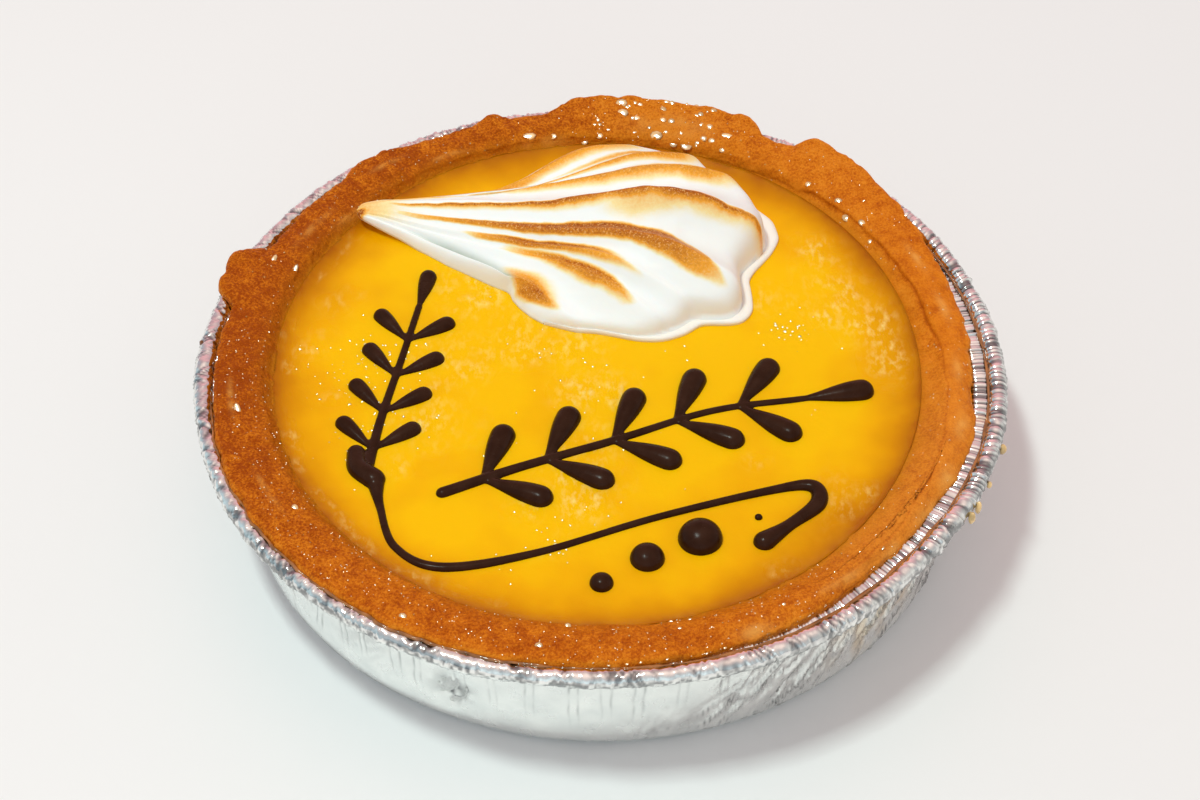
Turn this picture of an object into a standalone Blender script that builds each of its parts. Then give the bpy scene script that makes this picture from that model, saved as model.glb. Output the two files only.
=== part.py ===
"""A single-serve lemon tart in its foil tin.

A pastry case stands in a foil tin and holds lemon curd. Chocolate is piped on the curd:
a long underline, three drops, a tall sprig and a wide sprig of teardrop leaves. One piped
meringue shell lies across the back of the curd with its tip on the pastry.

Metres, +Z up. The origin is the middle of the tin's flat base. +Y runs from the underline
to the meringue, and bearings are degrees from +X towards +Y.
"""

import math

import bmesh
import bpy
from mathutils import Vector

MM = 0.001
# The air left between neighbouring solids.
GAP = 0.3 * MM
# Edges folded more sharply than this stay sharp in the shading (degrees).
SHARP_DEGREES = 40.0

# Foil tin: a flat base, a steep wall, a narrow flange and a curled bead.
TIN_RADIUS = 55.0 * MM
BEAD_RADIUS = 1.2 * MM
BEAD_HEIGHT = 20.43 * MM
FOIL = 0.3 * MM
BASE_RADIUS = 46.1 * MM
CORNER_RADIUS = 3.5 * MM
WALL_TOP_RADIUS = 50.6 * MM
WALL_TOP_HEIGHT = 18.4 * MM
FLANGE_RADIUS = 51.6 * MM
FLANGE_HEIGHT = 19.4 * MM
FLANGE_RISE = 0.2 * MM
# Where the flange's upper and lower sides meet the bead, in bead radii in from its centre.
FLANGE_MEETS_BEAD = (0.9, 0.6)
TIN_STEPS = 72
BEAD_CENTRE = TIN_RADIUS - BEAD_RADIUS

# A thumb's push on the tin's rim, where it is out of round.
PUSH_BEARING = -38.0
PUSH_HALF_WIDTH = 26.0
PUSH_DEPTH = 0.7 * MM

# Curd: its well is a little wider front to back than side to side.
CURD_RADIUS = 44.7 * MM
CURD_HEIGHT = 20.0 * MM
CURD_CREEP = 0.8 * MM
CURD_SIDE_SHIFT = 0.5 * MM
CURD_OVAL = 1.2 * MM
# Rings across the level top, as shares of its radius.
CURD_RINGS = (0.0, 0.45, 0.8)
# Rings where the edge creeps up the pastry: how far in (mm) and the share of the creep.
CREEP_RINGS = ((2.4, 0.0), (0.9, 0.3), (0.0, 1.0))
# The curd's gap above the case's floor, and above the slope at the floor's edge.
CURD_CLEARANCE = 1.2 * GAP
CORNER_CLEARANCE = 0.8 * GAP

# Pastry case: a floor, a wall and a broad rim.
FLOOR_HEIGHT = 4.0 * MM
WELL_CORNER = 0.9 * MM
WELL_CHAMFER = 1.4 * MM
WELL_TAPER = 2.3 * MM
RIM_HEIGHT = 22.1 * MM
RIM_CROWN = 0.3 * MM
RIM_ROUNDING = 0.45 * MM
RIM_TOP_SHARES = (0.15, 0.5, 0.85)
RIM_UNDER_SHARES = (0.0, 0.35, 0.7, 1.0)
# The point of the case under its rim: how far out from its wall, and above the flange.
SHOULDER = (0.25 * MM, 0.2 * MM)
COLUMN_DEGREES = 5.0
LEAST_COLUMN_DEGREES = 0.9

# How far the rim's inner slope runs in from its top edge, by bearing (degrees, mm).
SLOPE_WIDTHS = (
    (-180.0, 1.7),
    (-90.0, 1.0),
    (-45.0, 4.2),
    (0.0, 3.2),
    (45.0, 1.5),
    (90.0, 0.7),
    (135.0, 1.2),
)
# The rim's outer edge without its crags, by bearing (degrees, mm).
EDGE_RADII = (
    (-180.0, 51.8),
    (-150.0, 52.9),
    (-115.0, 53.6),
    (-80.0, 53.6),
    (-60.0, 52.6),
    (-45.0, 51.5),
    (-33.0, 50.9),
    (-20.0, 51.3),
    (0.0, 50.2),
    (12.0, 51.3),
    (27.0, 51.9),
    (60.0, 52.3),
    (130.0, 52.4),
    (150.0, 51.9),
)
# The height of that outer edge, by bearing (degrees, mm).
EDGE_HEIGHTS = ((-180.0, 22.3), (-90.0, 22.5), (0.0, 22.4), (60.0, 23.0), (120.0, 23.0))
# Crags and torn corners of the rim: bearing, degrees before it, degrees after it,
# how far it reaches out and how far it rises (mm).
CRAGS = (
    (54.0, 27.0, 3.0, 2.4, 1.2),
    (70.0, 4.0, 12.0, 2.4, 1.3),
    (83.0, 2.5, 3.0, 0.8, 0.5),
    (94.0, 2.5, 3.0, 0.7, 0.6),
    (108.0, 2.5, 3.5, 0.7, 0.6),
    (131.0, 8.0, 4.5, 0.9, 0.4),
    (159.5, 4.0, 9.0, 3.9, 0.9),
    (166.0, 3.0, 2.0, 0.9, 0.2),
)

# Piped chocolate: each stroke is a row of (x, y, half width) in mm on the curd.
UNDERLINE = (
    (-29.4, -20.6, 1.3),
    (-28.5, -25.2, 0.6),
    (-26.1, -32.3, 0.6),
    (-20.0, -35.7, 0.75),
    (-8.0, -33.2, 0.6),
    (7.0, -27.2, 0.55),
    (22.0, -22.4, 0.65),
    (27.6, -21.6, 1.0),
    (28.2, -24.6, 1.15),
    (24.4, -28.3, 0.9),
    (21.0, -31.2, 1.5),
)
START_BLOB = ((-32.2, -16.0, 1.3), (-31.7, -18.6, 1.5), (-29.6, -20.6, 1.6))
TALL_STEM = ((-30.6, -19.8, 0.8), (-29.4, -10.0, 0.65), (-27.2, 2.0, 0.55), (-25.4, 12.4, 0.5))
WIDE_STEM = (
    (-20.5, -23.0, 0.9),
    (-11.0, -18.6, 0.75),
    (2.0, -13.4, 0.65),
    (15.0, -8.0, 0.6),
    (27.5, -5.6, 0.55),
)
# Sprigs: stem, pairs of leaves, leaf length and leaf half width (mm).
SPRIGS = ((TALL_STEM, 4, 6.2, 1.25), (WIDE_STEM, 5, 8.2, 1.75))
LEAF_BEARING = 48.0
# The first pair's place on the stem, in steps between pairs.
FIRST_PAIR = 0.7
# A leaf's width at its root as a share of its widest, and how late it swells.
LEAF_ROOT = 0.28
LEAF_SWELL = 1.5
# Drops: x, y and radius (mm).
DROPS = ((12.8, -30.7, 2.9), (6.0, -34.1, 2.25), (0.2, -38.2, 1.55), (20.4, -27.0, 0.55))
DROP_FLATTEN = 0.85
DROP_SEGMENTS = 14
DROP_RINGS = 8
# The cap point past a stroke's end: how far on and how wide, in half widths of that end.
CAP_REACH = 0.7
CAP_WIDTH = 0.5
STROKE_SIDES = 2
STROKE_SPACING = 1.6 * MM
LEAF_RINGS = 5
CHOCOLATE_SINK = 0.05 * MM

# Meringue shell: a fan of sharp ridges and hollow flutes that opens from a blunt tip.
TIP = (-35.1 * MM, 29.4 * MM)
SHELL_HEIGHT = 12.5 * MM
TIP_HEIGHT = 22.8 * MM
TIP_REST = 8.0 * MM
TIP_THICKNESS = 0.1
TIP_HALF_WIDTH = 0.9 * MM
RISE_POWER = 1.2
FALL_POWER = 0.6
FALL_ONSET = 6.0
PEAK_SHARE = 0.638
FLUTE_DEPTH = 0.3
SIDE_ROUNDING = 0.6
SHELL_ROWS = 20
# How much closer the rows stand towards the head.
ROW_CROWDING = 1.6
FLUTE_COLUMNS = 5
# Ridges from front to back: bearing at the tip and at the head (degrees), height share.
# The first and the last are the shell's edges on the curd.
RIDGES = (
    (-32.0, -37.0, 0.0),
    (-30.0, -34.5, 0.3),
    (-24.5, -27.5, 0.48),
    (-21.5, -22.5, 0.62),
    (-16.5, -17.5, 0.8),
    (-8.5, -6.0, 1.0),
    (4.5, 2.5, 0.8),
    (5.5, 9.3, 0.66),
    (7.0, 16.0, 0.55),
    (10.0, 20.0, 0.0),
)
# How far the head reaches from the tip, by bearing (degrees, mm).
REACHES = (
    (-37.0, 34.5),
    (-34.8, 38.3),
    (-32.3, 42.5),
    (-28.3, 50.1),
    (-25.5, 52.3),
    (-21.8, 53.5),
    (-20.5, 57.0),
    (-17.5, 59.0),
    (-12.2, 57.4),
    (-6.0, 60.0),
    (-3.0, 61.0),
    (0.4, 60.0),
    (7.2, 54.2),
    (12.4, 50.2),
    (15.2, 46.0),
    (18.7, 39.0),
    (20.0, 34.0),
)


def clear_scene():
    """Remove what the scene opens with."""
    for item in list(bpy.data.objects):
        bpy.data.objects.remove(item, do_unlink=True)


def new_collection(name):
    """A collection in the scene."""
    collection = bpy.data.collections.new(name)
    bpy.context.scene.collection.children.link(collection)
    return collection


def new_material(name, colour, roughness, metallic=0.0):
    """A plain Principled material."""
    material = bpy.data.materials.new(name)
    material.use_nodes = True
    shader = material.node_tree.nodes["Principled BSDF"]
    shader.inputs["Base Color"].default_value = (*colour, 1.0)
    shader.inputs["Roughness"].default_value = roughness
    shader.inputs["Metallic"].default_value = metallic
    return material


def new_object(name, mesh, collection, material=None):
    """Put a mesh in a collection, shaded smooth apart from its sharp edges."""
    part = bpy.data.objects.new(name, mesh)
    collection.objects.link(part)
    if material is not None:
        mesh.materials.clear()
        mesh.materials.append(material)
    mesh.shade_smooth()
    mesh.set_sharp_from_angle(angle=math.radians(SHARP_DEGREES))
    return part


def evaluated_mesh(item):
    """The mesh that an object's modifiers or bevel give."""
    graph = bpy.context.evaluated_depsgraph_get()
    return bpy.data.meshes.new_from_object(item.evaluated_get(graph))


def around(keys, bearing):
    """The value at a bearing, eased between (bearing, value) keys that close on themselves."""
    closed = keys + ((keys[0][0] + 360.0, keys[0][1]),)
    at = (bearing - keys[0][0]) % 360.0 + keys[0][0]
    for (before, low), (after, high) in zip(closed, closed[1:]):
        if at <= after:
            ease = 0.5 - 0.5 * math.cos(math.pi * (at - before) / (after - before))
            return low + (high - low) * ease
    return closed[-1][1]


def between(keys, at):
    """The value on the straight lines between (place, value) keys."""
    for (before, low), (after, high) in zip(keys, keys[1:]):
        if at <= after:
            return low + (high - low) * (at - before) / (after - before)
    return keys[-1][1]


def off_bearing(bearing, centre):
    """The signed angle from one bearing to another, from -180 to 180."""
    return (bearing - centre + 180.0) % 360.0 - 180.0


def arc(centre, radius, start, end, count):
    """Points on an arc of a profile, from one angle to another (degrees)."""
    angles = [math.radians(start + (end - start) * step / (count - 1)) for step in range(count)]
    return [(centre[0] + radius * math.cos(a), centre[1] + radius * math.sin(a)) for a in angles]


def crag_height(bearing, crag):
    """How much of a crag stands at a bearing: 1 at its point, 0 beyond its sides."""
    away = off_bearing(bearing, crag[0])
    width = crag[1] if away < 0.0 else crag[2]
    return max(0.0, 1.0 - abs(away) / width)


def turned(name, profile, steps, collection):
    """Turn a profile of (radius, height) about the Z axis."""
    mesh = bpy.data.meshes.new(name)
    points = [(radius, 0.0, height) for radius, height in profile]
    mesh.from_pydata(points, [(i, i + 1) for i in range(len(points) - 1)], [])
    guide = bpy.data.objects.new(name, mesh)
    collection.objects.link(guide)
    screw = guide.modifiers.new("Turned", "SCREW")
    screw.steps = steps
    screw.render_steps = steps
    screw.use_merge_vertices = True
    screw.merge_threshold = 0.00001
    solid = evaluated_mesh(guide)
    bpy.data.objects.remove(guide, do_unlink=True)
    return solid


def lofted_ring(name, bearings, section_at):
    """Loft round the Z axis between unlike sections that start and end on the axis."""
    solid = bmesh.new()
    rings = []
    sections = [section_at(bearing) for bearing in bearings]
    start = solid.verts.new((0.0, 0.0, sections[0][0][1]))
    end = solid.verts.new((0.0, 0.0, sections[0][-1][1]))
    for bearing, section in zip(bearings, sections):
        along = (math.cos(math.radians(bearing)), math.sin(math.radians(bearing)))
        ring = [solid.verts.new((r * along[0], r * along[1], z)) for r, z in section[1:-1]]
        rings.append(ring)
    for ring, following in zip(rings, rings[1:] + rings[:1]):
        solid.faces.new((start, ring[0], following[0]))
        for step in range(len(ring) - 1):
            corners = (ring[step], ring[step + 1], following[step + 1], following[step])
            solid.faces.new(corners)
        solid.faces.new((ring[-1], end, following[-1]))
    mesh = bpy.data.meshes.new(name)
    bmesh.ops.recalc_face_normals(solid, faces=solid.faces)
    solid.to_mesh(mesh)
    solid.free()
    return mesh


def tin_profile():
    """The tin's section, from the middle of its floor over the bead to its underside."""
    corner = (BASE_RADIUS, CORNER_RADIUS)
    bead = (BEAD_CENTRE, BEAD_HEIGHT)
    flange_end, flange_end_under = [bead[0] - share * BEAD_RADIUS for share in FLANGE_MEETS_BEAD]
    flange_end_height = FLANGE_HEIGHT + FLANGE_RISE
    inside = [(0.0, FOIL)]
    inside += arc(corner, CORNER_RADIUS - FOIL, -90.0, 0.0, 4)
    inside += [(WALL_TOP_RADIUS - FOIL, WALL_TOP_HEIGHT)]
    inside += [(FLANGE_RADIUS, FLANGE_HEIGHT + FOIL), (flange_end, flange_end_height + FOIL)]
    curl = arc(bead, BEAD_RADIUS, 180.0, -90.0, 7)
    outside = [(flange_end_under, flange_end_height)]
    outside += [(FLANGE_RADIUS, FLANGE_HEIGHT), (WALL_TOP_RADIUS, WALL_TOP_HEIGHT)]
    outside += arc(corner, CORNER_RADIUS, 0.0, -90.0, 4)
    return inside + curl + outside + [(0.0, 0.0)]


def push_in(bearing, height):
    """How far the rim is pushed in: most at the bead, and nothing at the base."""
    near = max(0.0, 1.0 - abs(off_bearing(bearing, PUSH_BEARING)) / PUSH_HALF_WIDTH)
    lean = min(1.0, max(0.0, height / BEAD_HEIGHT))
    return PUSH_DEPTH * math.sin(0.5 * math.pi * near) ** 2 * lean**2


def make_tin(collection, material):
    """The foil tin, turned and then pushed a little out of round at its rim."""
    mesh = turned("foil_tin", tin_profile(), TIN_STEPS, collection)
    for vertex in mesh.vertices:
        reach = math.hypot(vertex.co.x, vertex.co.y)
        if reach > 0.5 * BASE_RADIUS:
            bearing = math.degrees(math.atan2(vertex.co.y, vertex.co.x))
            share = 1.0 - push_in(bearing, vertex.co.z) / reach
            vertex.co.x *= share
            vertex.co.y *= share
    return new_object("foil_tin", mesh, collection, material)


def well_radius(bearing):
    """The curd's radius at its surface: a circle drawn out front to back."""
    angle = math.radians(bearing)
    shift = CURD_SIDE_SHIFT * (math.sin(angle) - math.cos(angle))
    return CURD_RADIUS + shift - CURD_OVAL * math.cos(2.0 * angle)


def rim_edge(bearing):
    """The rim's outer radius and height at a bearing, crags included."""
    radius = around(EDGE_RADII, bearing)
    height = around(EDGE_HEIGHTS, bearing)
    for crag in CRAGS:
        share = crag_height(bearing, crag)
        radius += share * crag[3]
        height += share * crag[4]
    return radius * MM, height * MM


def clear_of_tin(radius):
    """The lowest height at a radius that keeps the gap above the flange and the bead."""
    clear = BEAD_RADIUS + GAP
    away = BEAD_CENTRE - radius
    if away >= clear:
        return FLANGE_HEIGHT + FLANGE_RISE + FOIL + GAP
    return BEAD_HEIGHT + math.sqrt(clear**2 - max(0.0, away) ** 2)


def crust_inside(bearing):
    """The case's section from the middle of its floor, up the well to the rim's inner edge."""
    well = well_radius(bearing) + GAP
    inner = well + around(SLOPE_WIDTHS, bearing) * MM
    lip = CURD_HEIGHT + CURD_CREEP
    section = [(0.0, FLOOR_HEIGHT), (well - WELL_TAPER - WELL_CHAMFER, FLOOR_HEIGHT)]
    section += [(well - WELL_TAPER, FLOOR_HEIGHT + WELL_CORNER), (well, lip)]
    return section + [(0.5 * (well + inner), 0.5 * (lip + RIM_HEIGHT)), (inner, RIM_HEIGHT)]


def crust_outside(bearing, inner):
    """The case's section from the rim's inner edge, over its top and down to its underside."""
    edge, top = rim_edge(bearing)
    start = inner + RIM_ROUNDING
    stop = edge - RIM_ROUNDING
    section = []
    for share in RIM_TOP_SHARES:
        rise = RIM_HEIGHT + (top - RIM_HEIGHT) * share
        rise += RIM_CROWN * math.sin(math.pi * share)
        section.append((start + (stop - start) * share, rise))
    section.append((stop, top))
    foot = min(edge, FLANGE_RADIUS - GAP)
    widest = max(rim_edge(bearing + step)[0] for step in (-3.0, 0.0, 3.0))
    for share in RIM_UNDER_SHARES:
        radius = edge + (foot - edge) * share
        reach = widest + (foot - widest) * share
        sink = top - RIM_ROUNDING + (BEAD_HEIGHT - top + RIM_ROUNDING) * share
        section.append((radius, max(sink, clear_of_tin(radius), clear_of_tin(reach))))
    outer = WALL_TOP_RADIUS - FOIL - GAP
    section += [(min(foot, outer + SHOULDER[0]), FLANGE_HEIGHT + SHOULDER[1])]
    section += [(outer, WALL_TOP_HEIGHT)]
    section += arc((BASE_RADIUS, CORNER_RADIUS), CORNER_RADIUS - FOIL - GAP, 0.0, -90.0, 4)
    return [(radius - push_in(bearing, height), height) for radius, height in section]


def crust_section(bearing):
    """The case's whole section, from the middle of its floor to the middle of its underside."""
    inside = crust_inside(bearing)
    return inside + crust_outside(bearing, inside[-1][0]) + [(0.0, FOIL + GAP)]


def crust_bearings():
    """Even bearings all round, and one at each crag's point and feet."""
    bearings = {-180.0 + COLUMN_DEGREES * step for step in range(int(360.0 / COLUMN_DEGREES))}
    for centre, before, after, _reach, _rise in CRAGS:
        bearings.update((centre - before, centre, centre + after))
    kept = []
    for bearing in sorted(bearings):
        if not kept or bearing - kept[-1] > LEAST_COLUMN_DEGREES:
            kept.append(bearing)
    return kept


def make_crust(collection, material):
    """The pastry case with its torn and craggy rim."""
    mesh = lofted_ring("pastry_crust", crust_bearings(), crust_section)
    return new_object("pastry_crust", mesh, collection, material)


def curd_section(bearing):
    """The curd's section: a level top that creeps up the pastry, and a tapered side."""
    well = well_radius(bearing)
    under = FLOOR_HEIGHT + CURD_CLEARANCE
    section = [(share * well, CURD_HEIGHT) for share in CURD_RINGS]
    section += [(well - inset * MM, CURD_HEIGHT + share * CURD_CREEP) for inset, share in CREEP_RINGS]
    section += [(well - WELL_TAPER, FLOOR_HEIGHT + WELL_CORNER + CORNER_CLEARANCE)]
    return section + [(well - WELL_TAPER - WELL_CHAMFER, under), (0.0, under)]


def smooth_points(keys, spacing):
    """Points on a smooth curve through (x, y, half width) keys, spaced evenly between them."""
    rows = [Vector(key) * MM for key in keys]
    ends = [rows[0] * 2.0 - rows[1]] + rows + [rows[-1] * 2.0 - rows[-2]]
    points = []
    for before, start, stop, after in zip(ends, ends[1:], ends[2:], ends[3:]):
        count = max(1, round((stop - start).length / spacing))
        for step in range(count):
            t = step / count
            curve = start * 2.0 + (stop - before) * t
            curve += (before * 2.0 - start * 5.0 + stop * 4.0 - after) * t**2
            curve += (start * 3.0 - before - stop * 3.0 + after) * t**3
            points.append(curve * 0.5)
    return points + [rows[-1]]


def leaf_points(root, direction, length, half_width):
    """A teardrop pulled from a fat outer end down to a thin root on its stem."""
    points = []
    for ring in range(LEAF_RINGS + 1):
        share = ring / LEAF_RINGS
        swell = math.sin(0.5 * math.pi * share) ** LEAF_SWELL
        width = half_width * (LEAF_ROOT + (1.0 - LEAF_ROOT) * swell)
        point = root + direction * (length * share)
        points.append(Vector((point.x, point.y, width)))
    return points


def sprig_strokes(stem, pairs, length, half_width):
    """A stem, its pairs of teardrop leaves and the one at its end."""
    points = smooth_points(stem, STROKE_SPACING)
    strokes = [points]
    for pair in range(pairs + 1):
        place = (len(points) - 1) * (pair + FIRST_PAIR) / (pairs + FIRST_PAIR)
        index = min(len(points) - 2, int(place))
        root = Vector((points[index].x, points[index].y))
        ahead = Vector((points[index + 1].x, points[index + 1].y)) - root
        angle = math.atan2(ahead.y, ahead.x)
        if pair == pairs:
            turns = (0.0,)
        else:
            turns = (LEAF_BEARING, -LEAF_BEARING)
        for turn in turns:
            heading = angle + math.radians(turn)
            direction = Vector((math.cos(heading), math.sin(heading)))
            strokes.append(leaf_points(root, direction, length * MM, half_width * MM))
    return strokes


def make_stroke(name, points, height, collection):
    """One piped stroke as a tube of changing width, half sunk in the curd."""
    curve = bpy.data.curves.new(name, "CURVE")
    curve.dimensions = "3D"
    curve.bevel_depth = 1.0
    curve.bevel_resolution = STROKE_SIDES
    curve.use_fill_caps = True
    spline = curve.splines.new("POLY")
    spline.points.add(len(points) - 1)
    for knot, point in zip(spline.points, points):
        knot.co = (point.x, point.y, height, 1.0)
        knot.radius = point.z
    tube = bpy.data.objects.new(name, curve)
    collection.objects.link(tube)
    mesh = evaluated_mesh(tube)
    welded = bmesh.new()
    welded.from_mesh(mesh)
    bmesh.ops.remove_doubles(welded, verts=welded.verts, dist=0.00001)
    bmesh.ops.recalc_face_normals(welded, faces=welded.faces)
    welded.to_mesh(mesh)
    welded.free()
    solid = bpy.data.objects.new(name + "_solid", mesh)
    solid.matrix_world = tube.matrix_world
    collection.objects.link(solid)
    bpy.data.objects.remove(tube, do_unlink=True)


def make_drop(name, x, y, radius, collection):
    """A round drop, a ball a little flattened with its middle on the curd."""
    ball = bmesh.new()
    bmesh.ops.create_uvsphere(
        ball, u_segments=DROP_SEGMENTS, v_segments=DROP_RINGS, radius=radius
    )
    bmesh.ops.scale(ball, vec=(1.0, 1.0, DROP_FLATTEN), verts=ball.verts)
    bmesh.ops.translate(ball, vec=(x, y, CURD_HEIGHT), verts=ball.verts)
    mesh = bpy.data.meshes.new(name)
    ball.to_mesh(mesh)
    ball.free()
    collection.objects.link(bpy.data.objects.new(name, mesh))


def round_ended(points):
    """The same stroke with a small cap point past each end."""
    first = points[0] + (points[0] - points[1]).normalized() * (CAP_REACH * points[0].z)
    last = points[-1] + (points[-1] - points[-2]).normalized() * (CAP_REACH * points[-1].z)
    first.z = CAP_WIDTH * points[0].z
    last.z = CAP_WIDTH * points[-1].z
    return [first] + points + [last]


def pipe_chocolate(collection):
    """All the chocolate on the curd, one closed solid for each stroke and drop."""
    strokes = [smooth_points(UNDERLINE, STROKE_SPACING), smooth_points(START_BLOB, STROKE_SPACING)]
    for sprig in SPRIGS:
        strokes += sprig_strokes(*sprig)
    for number, points in enumerate(strokes):
        height = CURD_HEIGHT - CHOCOLATE_SINK * (1 + number % 3)
        make_stroke(f"stroke_{number}", round_ended(points), height, collection)
    for number, (x, y, radius) in enumerate(DROPS):
        make_drop(f"drop_{number}", x * MM, y * MM, radius * MM, collection)


def make_curd(collection, material):
    """The curd with its chocolate fused on by one union."""
    bearings = [COLUMN_DEGREES * step for step in range(int(360.0 / COLUMN_DEGREES))]
    mesh = lofted_ring("lemon_curd", bearings, curd_section)
    curd = new_object("lemon_curd", mesh, collection, material)
    toppings = new_collection("chocolate_toppings")
    pipe_chocolate(toppings)
    union = curd.modifiers.new("Fused chocolate", "BOOLEAN")
    union.operation = "UNION"
    union.operand_type = "COLLECTION"
    union.collection = toppings
    union.solver = "EXACT"
    fused = evaluated_mesh(curd)
    curd.modifiers.remove(union)
    curd.data = fused
    for piece in list(toppings.objects):
        bpy.data.objects.remove(piece, do_unlink=True)
    fused.materials.clear()
    fused.materials.append(material)
    return curd


def height_share(reach_share):
    """The shell's height along its length: a near straight rise, then a round fall."""
    fall = max(0.0, 1.0 - reach_share**FALL_ONSET) ** FALL_POWER
    return TIP_THICKNESS * (1.0 - reach_share) ** 3 + reach_share**RISE_POWER * fall / PEAK_SHARE


def shell_floor(reach):
    """The height of the shell's underside: level on the curd, rising to the pastry at its tip."""
    lift = max(0.0, 1.0 - reach / TIP_REST) ** 2
    level = CURD_HEIGHT + GAP
    return level + (TIP_HEIGHT - level) * lift


def ridge_share(number, across):
    """The height share between two ridges: eased inside the shell, rounded at its edges."""
    low = RIDGES[number][2]
    high = RIDGES[number + 1][2]
    if number == 0:
        return high * math.sin(0.5 * math.pi * across) ** SIDE_ROUNDING
    if number == len(RIDGES) - 2:
        return low * math.cos(0.5 * math.pi * across) ** SIDE_ROUNDING
    return low + (high - low) * across**2 * (3.0 - 2.0 * across)


def shell_point(reach_share, number, across):
    """A point of the shell, by its share of the reach and its place between two ridges."""
    first = RIDGES[number]
    second = RIDGES[number + 1]
    start = first[0] + (second[0] - first[0]) * across
    end = first[1] + (second[1] - first[1]) * across
    heading = math.radians(start + (end - start) * reach_share**2)
    reach = between(REACHES, end) * MM * reach_share
    rise = height_share(reach_share)
    width = math.radians(second[1] - first[1]) * reach
    depth = FLUTE_DEPTH * width * math.sin(math.pi * across) * min(1.0, rise)
    if number in (0, len(RIDGES) - 2):
        depth = 0.0
    height = SHELL_HEIGHT * rise * ridge_share(number, across) - depth
    blunt = TIP_HALF_WIDTH * (1.0 - reach_share) ** 3
    blunt *= -math.cos(math.pi * (number + across) / (len(RIDGES) - 1))
    x = TIP[0] + reach * math.cos(heading)
    y = TIP[1] + reach * math.sin(heading) + blunt
    return Vector((x, y, shell_floor(reach) + max(0.0, height)))


def shell_row(reach_share):
    """One row of the shell, from its front edge over the ridges to its back edge."""
    points = []
    for number in range(len(RIDGES) - 1):
        for column in range(FLUTE_COLUMNS):
            points.append(shell_point(reach_share, number, column / FLUTE_COLUMNS))
    return points + [shell_point(reach_share, len(RIDGES) - 2, 1.0)]


def make_meringue(collection, material):
    """The piped shell, lofted from its blunt tip to the end of its head over its base."""
    shell = bmesh.new()
    rows = []
    for row in range(SHELL_ROWS + 1):
        reach_share = 1.0 - (1.0 - row / SHELL_ROWS) ** ROW_CROWDING
        rows.append([shell.verts.new(point) for point in shell_row(reach_share)])
    for row, following in zip(rows, rows[1:]):
        for step in range(len(row) - 1):
            corners = (row[step], following[step], following[step + 1], row[step + 1])
            shell.faces.new(corners)
        shell.faces.new((row[0], row[-1], following[-1], following[0]))
    shell.faces.new(rows[0])
    shell.faces.new(list(reversed(rows[-1])))
    bmesh.ops.recalc_face_normals(shell, faces=shell.faces)
    mesh = bpy.data.meshes.new("meringue")
    shell.to_mesh(mesh)
    shell.free()
    return new_object("meringue", mesh, collection, material)


def main():
    """Build the tart."""
    clear_scene()
    tart = new_collection("lemon_tart")
    make_tin(tart, new_material("foil", (0.82, 0.82, 0.83), 0.25, metallic=1.0))
    make_crust(tart, new_material("pastry", (0.48, 0.16, 0.03), 0.6))
    make_curd(tart, new_material("curd", (0.96, 0.52, 0.0), 0.25))
    make_meringue(tart, new_material("meringue", (0.93, 0.92, 0.88), 0.55))


main()
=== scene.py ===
"""A lemon tart in its foil tin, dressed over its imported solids.

Shapes are worked out in millimetres in the solids' own frame: the origin is the middle of the
tin's base, +Z is up and +Y runs from the chocolate underline to the meringue. Bearings are
degrees from +X towards +Y. Each surface is a function of two parameters on a grid.
"""

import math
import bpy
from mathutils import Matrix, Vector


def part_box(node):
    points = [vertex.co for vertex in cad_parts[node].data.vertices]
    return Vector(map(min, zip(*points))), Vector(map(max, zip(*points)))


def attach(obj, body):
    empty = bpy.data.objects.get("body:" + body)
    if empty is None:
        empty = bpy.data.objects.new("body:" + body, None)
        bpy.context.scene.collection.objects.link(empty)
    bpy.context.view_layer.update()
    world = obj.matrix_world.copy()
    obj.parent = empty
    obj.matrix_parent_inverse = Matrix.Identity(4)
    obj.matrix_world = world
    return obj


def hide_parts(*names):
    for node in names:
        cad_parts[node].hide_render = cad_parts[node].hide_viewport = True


bl_info = {
    "name": "Lemon Tart",
    "version": (1, 0, 0),
    "blender": (4, 5, 0),
    "location": "3D View > Sidebar > Tart",
    "description": "Builds a lemon tart with piped chocolate and toasted meringue in a foil tin",
    "category": "Add Mesh",
}

import bpy
import numpy as np
from bpy.props import FloatProperty, FloatVectorProperty, IntProperty, PointerProperty
from mathutils import Matrix, Vector

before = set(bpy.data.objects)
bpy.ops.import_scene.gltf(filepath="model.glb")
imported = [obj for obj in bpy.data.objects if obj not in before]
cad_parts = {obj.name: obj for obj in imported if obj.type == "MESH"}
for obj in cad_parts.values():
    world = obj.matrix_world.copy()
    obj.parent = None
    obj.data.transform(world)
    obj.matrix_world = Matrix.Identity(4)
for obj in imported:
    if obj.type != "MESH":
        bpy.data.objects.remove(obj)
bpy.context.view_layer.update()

MM = 0.001
BODY = "root"
TIN_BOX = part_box("foil_tin")
SHELL_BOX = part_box("meringue")

# Foil tin.
TIN_RADIUS = 55.0
BEAD_RADIUS = 1.2
BEAD_HEIGHT = 20.43
BEAD_CENTRE = TIN_RADIUS - BEAD_RADIUS
FOIL = 0.3
BASE_RADIUS = 46.1
CORNER_RADIUS = 3.5
WALL_TOP = (50.6, 18.4)
FLANGE = (51.6, 19.4)
PUSH_BEARING = -38.0
PUSH_HALF_WIDTH = 26.0
PUSH_DEPTH = 0.7
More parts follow.
